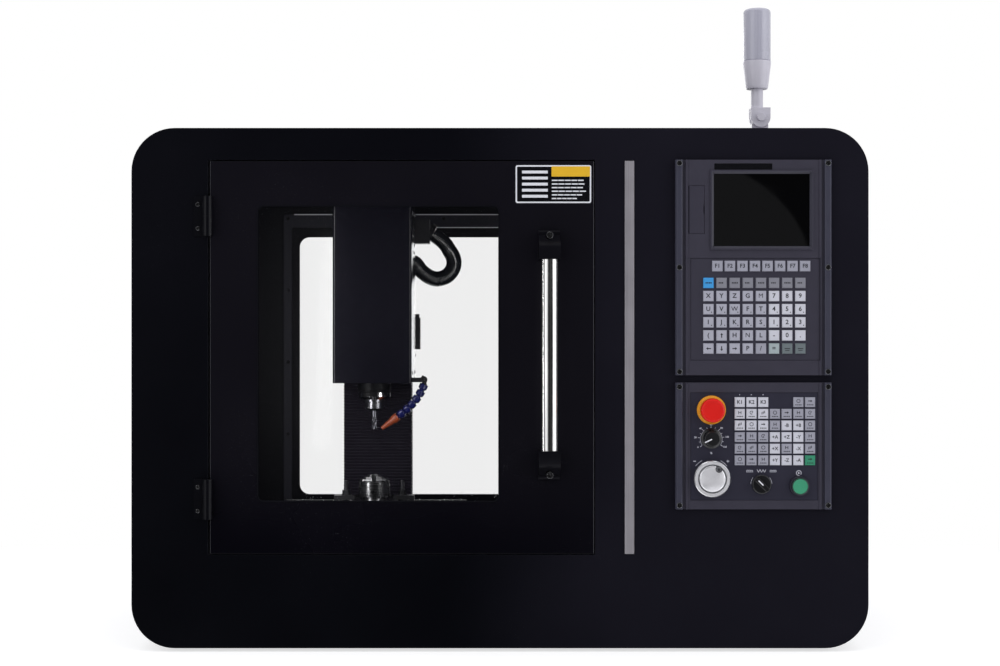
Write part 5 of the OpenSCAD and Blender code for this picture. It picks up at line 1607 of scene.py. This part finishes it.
class Cabinet:
    """Skins, panels, windows, feet, inlet and lamp."""

    def __init__(self, shop: Workshop, screws: Fasteners) -> None:
        """Keep the workshop and the fasteners."""
        self.shop = shop
        self.screws = screws

    def build(self) -> None:
        """Make the cabinet's pieces."""
        lens = MilkyLens("lens_milky", self.shop.middle(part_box("lamp_lens")))
        self.shop.eased_all(
            (
                ("outer_skin", 0.8, Look.body, 2, self._lining, (Look.inside,)),
                ("front_panel", 0.6, Look.body, 2, self._lining, (Look.inside,)),
                ("rear_panel", 0.3, Look.body, 1),
                ("rear_window_frame", 0.8, Look.frame_strip),
                ("partition", 0.4, Look.inside),
                ("chip_tray", 0.6, Look.tray),
                ("feet", 1.4, Look.foot, 3),
                ("trim_strip", 0.5, Look.trim),
                ("mains_inlet", 0.7, Look.inlet),
                ("mains_rocker", 0.6, Look.rocker),
                ("drive_units", 0.9, Look.drive),
                ("lamp_foot", 1.0, Look.lamp, 3),
                ("lamp_stand", 0.9, Look.lamp, 3),
                ("lamp_lens", 1.6, lens, 4),
            )
        )
        self.shop.dress("rear_window", Look.rear_pane)
        self._bar_highlights()
        self._clamp_screws()
        self._rear_screws()
        self._switch_signs()

    def _lining(self, middle: Vector, normal: Vector) -> int:
        """Give the faces that look into the chamber their own paint."""
        low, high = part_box("outer_skin")
        inside = middle.y > self.shop.front + 0.0025
        return 1 if inside and normal.dot((low + high) / 2 - middle) > 0 else 0

    def _bar_highlights(self) -> None:
        """Lay two pale strips along the bar over the rear window as painted highlights of its lit
        edges.
        """
        low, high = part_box("rear_window_frame")
        behind = (self.shop.front - low.y) / MM
        left, right = low.x / MM + 22.0, high.x / MM - 20.0
        top = high.z / MM - 0.9
        reach = (behind - 0.1, behind + 0.5)
        # Both strips are painted highlights, not parts of the bar.
        for name, start, base in (("bar_strip", left, top), ("bar_strip_low", -143.0, top - 27.5)):
            size = (right - start, 1.9)
            piece = self.shop.plate(name, (start, base), size, reach, 0.6, Look.lip)
            self.shop.keep(piece, "enclosure", "inner_paint")

    def _clamp_screws(self) -> None:
        """Set the screws of the rear window's clamp."""
        low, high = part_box("rear_window_frame")
        inset = 0.0085
        places = []
        for z in spread(low.z + inset, high.z - inset, 5):
            places += [(low.x + inset, low.y, z), (high.x - inset, low.y, z)]
        for x in spread(low.x + inset, high.x - inset, 4)[1:-1]:
            places += [(x, low.y, low.z + inset), (x, low.y, high.z - inset)]
        self.screws.row(
            "pane_clamp_screws", places, (4.0, 2.4), finish=Look.dark_screw, domed=True
        )

    def _rear_screws(self) -> None:
        """Set the screws of the rear panel, on the skin's back where parts of the panel stand out."""
        low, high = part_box("outer_skin")
        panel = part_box("rear_panel")[1].y
        face = high.y if panel - high.y > 0.002 else panel
        edge, corner = 0.022, 0.085
        places = []
        for z in spread(low.z + corner, high.z - corner, 5):
            places += [(low.x + edge, face, z), (high.x - edge, face, z)]
        for x in spread(low.x + corner, high.x - corner, 5):
            places += [(x, face, low.z + edge), (x, face, high.z - edge)]
        self.screws.row("rear_panel_screws", places, (5.0, 3.0), Facing.BACK, domed=True)

    def _switch_signs(self) -> None:
        """Print the plain on and off signs on the rocker, which looks to the back."""
        low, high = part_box("mains_rocker")
        x, middle, y = (low.x + high.x) / 2, (low.z + high.z) / 2, high.y + 0.00008
        apart, tall, wide, line, sides = 0.0048, 0.002, 0.0022, 0.0006, 12
        on, off = middle + apart, (x, middle - apart)
        quads = [[(x + a * line, on + b * tall) for a, b in ((-1, -1), (1, -1), (1, 1), (-1, 1))]]
        for i in range(sides):
            a, b = math.tau * i / sides, math.tau * (i + 1) / sides
            corners = ((wide, a), (wide, b), (wide - line, b), (wide - line, a))
            quads.append([polar(off, reach, turn) for reach, turn in corners])
        vertices = [(px, y, pz) for quad in quads for px, pz in quad]
        faces = [[4 * i + 3, 4 * i + 2, 4 * i + 1, 4 * i] for i in range(len(quads))]
        piece = self.shop.plain("rocker_signs", vertices, faces, Look.pointer)
        self.shop.keep(piece, "mains_switch", "rocker_red")


@dataclass(frozen=True)
class DoorSizes:
    """Sizes of what lies on the door, in millimetres."""

    window_low: Point = (-402.0, 250.0)
    window_high: Point = (-2.0, 740.0)
    window_radius: float = 10.0
    notice: Point = (25.9, 745.2)
    notice_size: Point = (125.5, 62.8)


class Door:
    """Door with its window, hinges, handle and notice."""

    def __init__(self, shop: Workshop, screws: Fasteners) -> None:
        """Take the door's face from the frame."""
        self.shop = shop
        self.screws = screws
        self.sizes = DoorSizes()
        self.reach = (shop.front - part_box("door_panel")[0].y) / MM

    def build(self) -> None:
        """Make the door's pieces."""
        self.shop.eased_all(
            (
                ("door_panel", 1.0, Look.door, 3, self._edge, (Look.painted_edge_highlight,)),
                ("handle_tube", 0.4, Look.handle),
                ("handle_mounts", 1.6, Look.mount, 3, self._painted_mount_highlight, (Look.mount_edge_highlight,)),
                ("hinge_frame_leaves", 0.5, Look.hinge),
                ("hinge_door_leaves", 0.3, Look.hinge),
            )
        )
        self.shop.dress("door_window", Look.door_pane)
        self._gasket()
        self._notice()
        self._screws()

    def _edge(self, middle: Vector, normal: Vector) -> int:
        """Give the eased upright edges of the door a painted highlight."""
        low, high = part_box("door_panel")
        near = min(abs(middle.x - low.x), abs(middle.x - high.x)) < 0.0011
        return 1 if near and normal.y < -0.25 and abs(normal.x) > 0.25 else 0

    def _painted_mount_highlight(self, middle: Vector, normal: Vector) -> int:
        """Give the upright edges of the handle's mounts a painted highlight."""
        return 1 if abs(normal.x) > 0.55 and normal.y < -0.35 else 0

    def _gasket(self) -> None:
        """Lay a rubber lip round the inside of the window's edge."""
        sizes = self.sizes
        profile = ((-1.8, 0.05), (-1.7, 0.7), (-0.6, 1.0), (0.5, 0.6), (0.9, -0.6))
        profile += ((0.9, -4.0), (0.05, -4.0), (0.05, 0.05))
        rings = []
        for inset, height in profile:
            outline = rounded(sizes.window_low, sizes.window_high, sizes.window_radius, inset, 8)
            y = self.shop.front - (self.reach + height) * MM
            rings.append([(x * MM, y, z * MM) for x, z in outline])
        piece = self.shop.plain("window_lip", *lofted(rings, False), Look.gasket)
        for polygon in piece.data.polygons:
            polygon.use_smooth = True
        self.shop.keep(piece, "door", "door_paint")

    def _notice(self) -> None:
        """Stick a plain notice with bars for its lines beside the window."""
        x, z = self.sizes.notice
        wide, high = self.sizes.notice_size
        face = self.reach
        column = x + wide * 0.475
        rim, band = 2.4, (wide * 0.51, high * 0.27)
        inner = (wide - 2 * rim, high - 2 * rim)
        for name, corner, size, back, top, radius, finish, edge in (
            ("notice_border", (x, z), (wide, high), 0, 0.3, 3.2, Look.plate_white, 0.1),
            ("notice_field", (x + rim, z + rim), inner, 0.1, 0.38, 1.6, Look.plate_black, 0.05),
            ("notice_band", (column, z + high * 0.7), band, 0.1, 0.42, 0.8, Look.plate_yellow, 0.05),
        ):
            reach = (face + back, face + top)
            piece = self.shop.plate(name, corner, size, reach, radius, finish, edge)
            self.shop.keep(piece, "door", "mount_plastic")
        white = PrintedMarks(self.shop, face + 0.46)
        words, space = 5, 1.1
        for row, share in enumerate((0.43, 0.44, 0.42, 0.46, 0.41, 0.34)):
            span = wide * share / words
            for word in range(words):
                middle = column + 0.5 + span * (word + 0.5) - space / 2
                white.bar(middle, z + high * (0.60 - row * 0.096), span - space, 2.0)
        for row in range(5):
            white.bar(x + wide * 0.255, z + high * (0.18 + row * 0.16), wide * 0.34, 4.6)
        white.piece("notice_marks", "door", "mount_plastic", Look.plate_white)

    def _screws(self) -> None:
        """Set the screws of hinges and handle."""
        x = self.shop.middle(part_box("handle_tube"))[0]
        low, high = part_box("handle_mounts")
        places = [(x, low.y + 0.006, z) for z in (high.z - 0.011, low.z + 0.011)]
        self.screws.row("handle_screws", places, (5.4, 3.2), body="door")
        low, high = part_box("hinge_frame_leaves")
        x, y = low.x + 0.007, self.shop.front - 0.0028
        middles = (low.z + 0.033, high.z - 0.033)
        places = [(x, y, middle + side) for middle in middles for side in (-0.02, 0.02)]
        self.screws.row("hinge_screws", places, (3.4, 1.2))


# ---------------------------------------------------------------- machine in the chamber


@dataclass(frozen=True)
class ConduitRoute:
    """Route of the conduit from the casting to the head, and its tube."""

    places: tuple[Place, ...] = (
        (-0.1285, 0.08885, 0.7200),
        (-0.1139, 0.08785, 0.7090),
        (-0.1050, 0.08635, 0.7000),
        (-0.0985, 0.08485, 0.6897),
        (-0.0912, 0.08025, 0.6774),
        (-0.0886, 0.07465, 0.6644),
        (-0.0918, 0.06885, 0.6510),
        (-0.1024, 0.06345, 0.6386),
        (-0.1195, 0.05825, 0.6330),
        (-0.1347, 0.05425, 0.6366),
        (-0.1499, 0.05145, 0.6477),
        (-0.1612, 0.05085, 0.6616),
        (-0.1690, 0.05085, 0.6652),
    )
    radius: float = 0.0148
    lengths: int = 12
    folds: int = 6


class Mill:
    """Castings, slides, head, chuck and the soft covers."""

    def __init__(self, shop: Workshop, screws: Fasteners) -> None:
        """Keep the workshop and the fasteners, and build the other geometry trees."""
        self.shop = shop
        self.screws = screws
        self.tube = CorrugatedTube(shop)
        self.scatter = Scatter(shop)

    def build(self) -> None:
        """Make the mill's pieces."""
        self._castings()
        self._head()
        self._drives()
        self._bellows()
        self._conduit()
        self._screws()
        self._chips()

    def _castings(self) -> None:
        """Ease the castings, the slides, the chuck with its jaws and the clamps."""
        axis = self.shop.middle(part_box("chuck_body"))
        chuck = TurnedMetal("chuck_turned", (0.32, 0.32, 0.33), 0.24, axis)
        self.shop.eased_all(
            (
                ("base_casting", 1.2, Look.casting, 3),
                ("column_casting", 1.2, Look.casting, 3),
                ("saddle", 0.8, Look.saddle),
                ("table", 0.5, Look.table),
                ("chuck_body", 0.6, chuck),
                *((f"chuck_jaw_{number}", 0.4, Look.jaw) for number in (1, 2, 3)),
                ("hold_down_clamps", 0.6, Look.clamp),
            )
        )

    def _head(self) -> None:
        """Ease the head, its cover, the spindle and the hose."""
        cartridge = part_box("spindle_cartridge")
        axis, bright_below = self.shop.middle(cartridge), cartridge[0].z + 0.009
        nose = TurnedMetal("cartridge_nose", (0.55, 0.55, 0.57), 0.16, axis)
        spindle = TurnedMetal("spindle_turned", (0.22, 0.22, 0.24), 0.3, axis)

        def paint(middle: Vector, normal: Vector) -> int:
            """Leave the nose of the cartridge bright."""
            return 1 if middle.z < bright_below else 0

        self.shop.eased_all(
            (
                ("head_casting", 0.8, Look.casting),
                ("head_cover", 1.2, Look.cover, 3),
                ("spindle_cartridge", 0.8, Look.cartridge, 2, paint, (nose,)),
                ("spindle_shaft", 0.4, spindle),
                ("end_mill", 0.12, Look.cutter, 1),
                ("coolant_manifold", 0.8, Look.fitting),
                ("hose_links", 0.3, Look.hose),
                ("hose_nozzle", 0.3, Look.nozzle),
            )
        )

    def _drives(self) -> None:
        """Ease motors, switch and bracket; give the screws their threads."""
        for node in ("axis_motors", "x_motor", "spindle_motor"):
            self.shop.eased(node, 0.7, Look.motor)
        for node in ("z_limit_switch", "conduit_bracket"):
            self.shop.eased(node, 0.6, Look.fitting)
        for axis, node in enumerate(("x_screw", "y_screw", "z_screw")):
            self.shop.eased(node, 0.2, ScrewThread(node + "_thread", axis), 1)

    def _bellows(self) -> None:
        """Fold the cover of the Z way between the table's height and the head."""
        low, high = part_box("z_bellows")
        middle_x, middle_y, _ = self.shop.middle((low, high))
        side, front = (high.x - low.x) / 2, (high.y - low.y) / 2
        thick, fold, pleats = 0.003, 0.0017, 38
        inner = side - thick
        outline = ((-side, -front), (side, -front), (side, front), (inner, front))
        outline += ((inner, thick - front), (-inner, thick - front), (-inner, front), (-side, front))
        rings = []
        for level, z in enumerate(spread(low.z, high.z, pleats * 2 + 1)):
            depth = fold if level % 2 else 0.0
            ring = []
            for x, y in outline:
                x -= math.copysign(min(depth, abs(x) - 0.001), x)
                y += depth if y < thick + 0.0001 - front else 0.0
                ring.append((middle_x + x, middle_y + y, z))
            rings.append(ring)
        piece = self.shop.plain("way_bellows", *lofted(rings), Look.cloth)
        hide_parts("z_bellows")
        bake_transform(piece)
        self.shop.report(piece)

    def _conduit(self) -> None:
        """Sweep the corrugated conduit in short lengths along its smoothed route.
        """
        route = ConduitRoute()
        count = route.lengths * route.folds
        places, run = self._even(self._smooth(route.places), count)
        for index in range(route.lengths):
            part = places[index * route.folds : (index + 1) * route.folds + 1]
            name = f"corrugated_conduit_{index + 1:02d}"
            piece = self.tube.build(name, part, route.radius, run / count)
            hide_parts("cable_conduit")
            first, last = (self._eased(i / route.lengths) for i in (index, index + 1))
            chord = (Vector(part[-1]) - Vector(part[0])) / (last - first)
            start = Vector(part[0]) - chord * first
            tuple(start + chord)
            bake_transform(piece)
            self.shop.report(piece)

    @staticmethod
    def _eased(share: float) -> float:
        """Return where along a blend the head's part in the motion is this share."""
        return 0.5 - math.sin(math.asin(1.0 - 2.0 * share) / 3.0)

    @staticmethod
    def _even(points: Sequence[Vector], count: int) -> tuple[list[Vector], float]:
        """Walk along a path in even steps.

        Args:
            points: the path.
            count: number of steps.

        Returns:
            The places from end to end, and the path's length.
        """
        reach = [0.0]
        for one, other in zip(points, points[1:]):
            reach.append(reach[-1] + (other - one).length)
        places = [points[0]]
        span = 0
        for step in range(1, count):
            goal = reach[-1] * step / count
            while reach[span + 1] < goal:
                span += 1
            share = (goal - reach[span]) / (reach[span + 1] - reach[span])
            places.append(points[span].lerp(points[span + 1], share))
        return [*places, points[-1]], reach[-1]

    @staticmethod
    def _smooth(route: Sequence[Place]) -> list[Vector]:
        """Return a smooth path through places, with six steps between each two."""
        steps = 6
        points = [Vector(place) for place in route]
        ends = [points[0] * 2 - points[1], *points, points[-1] * 2 - points[-2]]
        path = []
        for a, b, c, d in zip(ends, ends[1:], ends[2:], ends[3:]):
            for step in range(steps):
                t = step / steps
                place = 2 * b + (c - a) * t + (2 * a - 5 * b + 4 * c - d) * t * t
                place += (3 * b - a - 3 * c + d) * t * t * t
                path.append(place / 2)
        return [*path, points[-1]]

    def _screws(self) -> None:
        """Set the screws of the head cover and of the limit switch."""
        low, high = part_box("head_cover")
        vertices: list[Place] = []
        faces: Faces = []
        button = ((0.0032, 0), (0.003, 0.0007), (0.002, 0.0012), (0.0012, 0.0012), (0.0011, 0.0004))
        points, rings = turned(button, 18)
        for up in (low.z + 0.018, high.z - 0.018):
            for back in (low.y + 0.03, high.y - 0.02):
                start = len(vertices)
                vertices += [(high.x + z, back + x, up + y) for x, y, z in points]
                faces += [[start + i for i in face] for face in rings]
        piece = self.shop.plain("cover_screws", vertices, faces, Look.fastener)
        self.shop.keep(piece, "head", "screw_steel")
        low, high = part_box("z_limit_switch")
        x = (low.x + high.x) / 2 - 0.001
        places = [(x, low.y, z) for z in (low.z + 0.023, high.z - 0.014)]
        self.screws.row("switch_screws", places, (2.2, 0.9), finish=Look.steel_screw)

    def _chips(self) -> None:
        """Strew chips on the table, before the rear window and in the tray."""
        low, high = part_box("table")
        top, side, end = high.z + 0.0001, 0.008, 0.006
        near, far = (low.x + side, low.y + end, top), (high.x - side, high.y - end, top)
        self.scatter.strew("table_chips", near, far, 150, "work_table", "table_steel")
        low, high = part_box("rear_window")
        y = low.y - 0.0002
        near, far = (low.x + 0.035, y, low.z + 0.020), (high.x - 0.05, y, low.z + 0.046)
        self.scatter.strew("pane_chips", near, far, 110, "enclosure", "tray_steel")
        low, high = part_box("chip_tray")
        front, back = (corner.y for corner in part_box("base_casting"))
        top = low.z + 0.0025
        near, far = (low.x + 0.05, front - 0.06, top), (high.x - 0.05, back - 0.02, top)
        self.scatter.strew("tray_chips", near, far, 700, "enclosure", "tray_steel")


# ---------------------------------------------------------------- studio


@dataclass(frozen=True)
class StudioSizes:
    """Camera, ground and lights of the studio; levels are linear and angles in degrees."""

    eye: Place = (0.0, -3.06015, 0.52947)
    lens: float = 58.55
    reach: float = 60.0
    ground_half: float = 9.0
    ambient: float = 0.8
    room: float = 0.02
    boxes: float = 1.15
    walls: float = 0.33
    back: float = 0.62
    umbrella: float = 0.09
    umbrella_turn: float = 6.575
    umbrella_rise: float = 1.625
    ground: float = 1.4


class Studio:
    """Camera, pale ground, white surroundings and soft lights."""

    def __init__(self) -> None:
        """Take the sizes."""
        self.sizes = StudioSizes()

    def build(self) -> None:
        """Set camera, world, ground and lights."""
        scene = bpy.context.scene
        scene.view_settings.view_transform = "Standard"
        data = bpy.data.cameras.new("camera")
        data.lens = self.sizes.lens
        data.clip_end = self.sizes.reach
        scene.camera = placed("camera", data)
        scene.camera.location = self.sizes.eye
        scene.camera.rotation_euler = (math.pi / 2, 0.0, 0.0)
        self._world()
        self._ground()
        self._lights()

    def _world(self) -> None:
        """Make the surroundings white to the camera and hang soft boxes in them for the gloss."""
        sizes = self.sizes
        sky = SkyGraph("surroundings")
        x, y, z = sky.axes()
        turn = x.bearing(y * -1.0)
        aside = turn * -1.0
        boxes = aside.between(0.43, 0.57) - aside.between(0.98, 1.10)
        boxes = boxes + turn.between(0.62, 0.76) - turn.between(1.60, 1.75)
        boxes = boxes * (1.0 - z.size().between(0.6, 0.85)) * sizes.boxes
        walls = turn.size().between(1.0, 1.15) * sizes.walls
        back = y.between(0.15, 0.45) * sizes.back
        ground = (z * -1.0).between(0.42, 0.6) * sizes.ground
        level = boxes + walls + back + ground + z.between(0.55, 0.8) * sizes.walls + sizes.room
        level = level + self._umbrella(sky).between(0.99703, 0.99721) * sizes.umbrella
        path = sky.node("ShaderNodeLightPath")
        plain = sky.glow((0.96, 0.97, 1.0), sizes.ambient)
        mirror = sky.glow((0.97, 0.98, 1.0), level)
        seen = sky.join(path.outputs["Is Glossy Ray"], plain, mirror)
        clear = Num(sky, path.outputs["Is Camera Ray"]) + path.outputs["Is Transmission Ray"]
        final = sky.join(clear, seen, sky.glow((1.0, 1.0, 1.0), 1.0))
        sky.node("ShaderNodeOutputWorld", None, {"Surface": final})

    def _umbrella(self, sky: SkyGraph) -> Num:
        """Return the cosine of the angle from a ray to the middle of a big faint umbrella."""
        turn = math.radians(self.sizes.umbrella_turn)
        rise = math.radians(self.sizes.umbrella_rise)
        level = math.cos(rise)
        middle = (math.sin(turn) * level, -math.cos(turn) * level, math.sin(rise))
        return Num(sky, sky.vector("DOT_PRODUCT", middle, "Value"))

    def _ground(self) -> None:
        """Lay a pale ground that shows white to the camera but for the soft shadow."""
        z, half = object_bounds()[0][2], self.sizes.ground_half
        mesh = bpy.data.meshes.new("ground")
        corners = [(x * half, y * half, z) for x, y in ((-1, -1), (1, -1), (1, 1), (-1, 1))]
        mesh.from_pydata(corners, [], [(0, 1, 2, 3)])
        ground = placed("ground", mesh)
        graph = ShaderGraph("ground_white")
        seen = Num(graph, graph.node("ShaderNodeLightPath").outputs["Is Camera Ray"])
        far = graph.axes()[1].between(0.55, 0.95)
        near_paint = graph.mix(far, (0.56, 0.56, 0.57), (0.0, 0.0, 0.0))
        near_glow = graph.mix(far, (0.66, 0.66, 0.66), (1.0, 1.0, 1.0))
        graph.set(
            Base_Color=graph.mix(seen, (0.93, 0.93, 0.94), near_paint),
            Emission_Color=graph.mix(seen, (0.0, 0.0, 0.0), near_glow),
            Emission_Strength=1.0,
            Roughness=0.9,
            Specular=0.0,
        )
        mesh.materials.append(graph.material)
        ground.visible_glossy = False
        ground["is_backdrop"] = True

    def _lights(self) -> None:
        """Hang the soft boxes, each by its place, its aim, its size and its power."""
        for name, place, aim, size, power in (
            ("left_box", (-2.4, -1.9, 1.3), (0.0, 0.0, 0.55), (0.9, 2.2), 9.0),
            ("right_box", (2.6, -1.6, 1.2), (0.0, 0.0, 0.55), (0.9, 2.2), 11.0),
            ("top_box", (0.0, -0.9, 3.2), (0.0, 0.0, 0.6), (3.0, 1.6), 15.0),
            ("rear_box", (-0.2, 1.9, 0.9), (-0.2, 0.0, 0.45), (1.4, 1.2), 8.0),
            ("chamber_left", (-0.45, -0.32, 0.5), (-0.2, 0.1, 0.45), (0.05, 0.55), 1.6),
            ("chamber_right", (0.055, -0.32, 0.52), (-0.2, 0.1, 0.5), (0.05, 0.5), 1.0),
        ):
            data = bpy.data.lights.new(name, "AREA")
            data.shape = "RECTANGLE"
            data.size, data.size_y = size
            data.energy = power
            light = placed(name, data)
            light.location = place
            direction = Vector(aim) - Vector(place)
            light.rotation_euler = direction.to_track_quat("-Z", "Y").to_euler()
            light.visible_camera = False


def corners() -> list[list[float]]:
    """Return the object's lowest and highest corners as plain lists."""
    return [[float(value) for value in corner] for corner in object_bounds()]


def main() -> None:
    """Build the looks round the frame."""
    logging.basicConfig(level=logging.INFO, format="%(name)s: %(message)s")
    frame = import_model()
    shop = Workshop(frame)
    Studio().build()
    screws = Fasteners(shop)
    Cabinet(shop, screws).build()
    Door(shop, screws).build()
    ControlUnits(shop, screws).build()
    Mill(shop, screws).build()


if __name__ == "__main__":
    main()
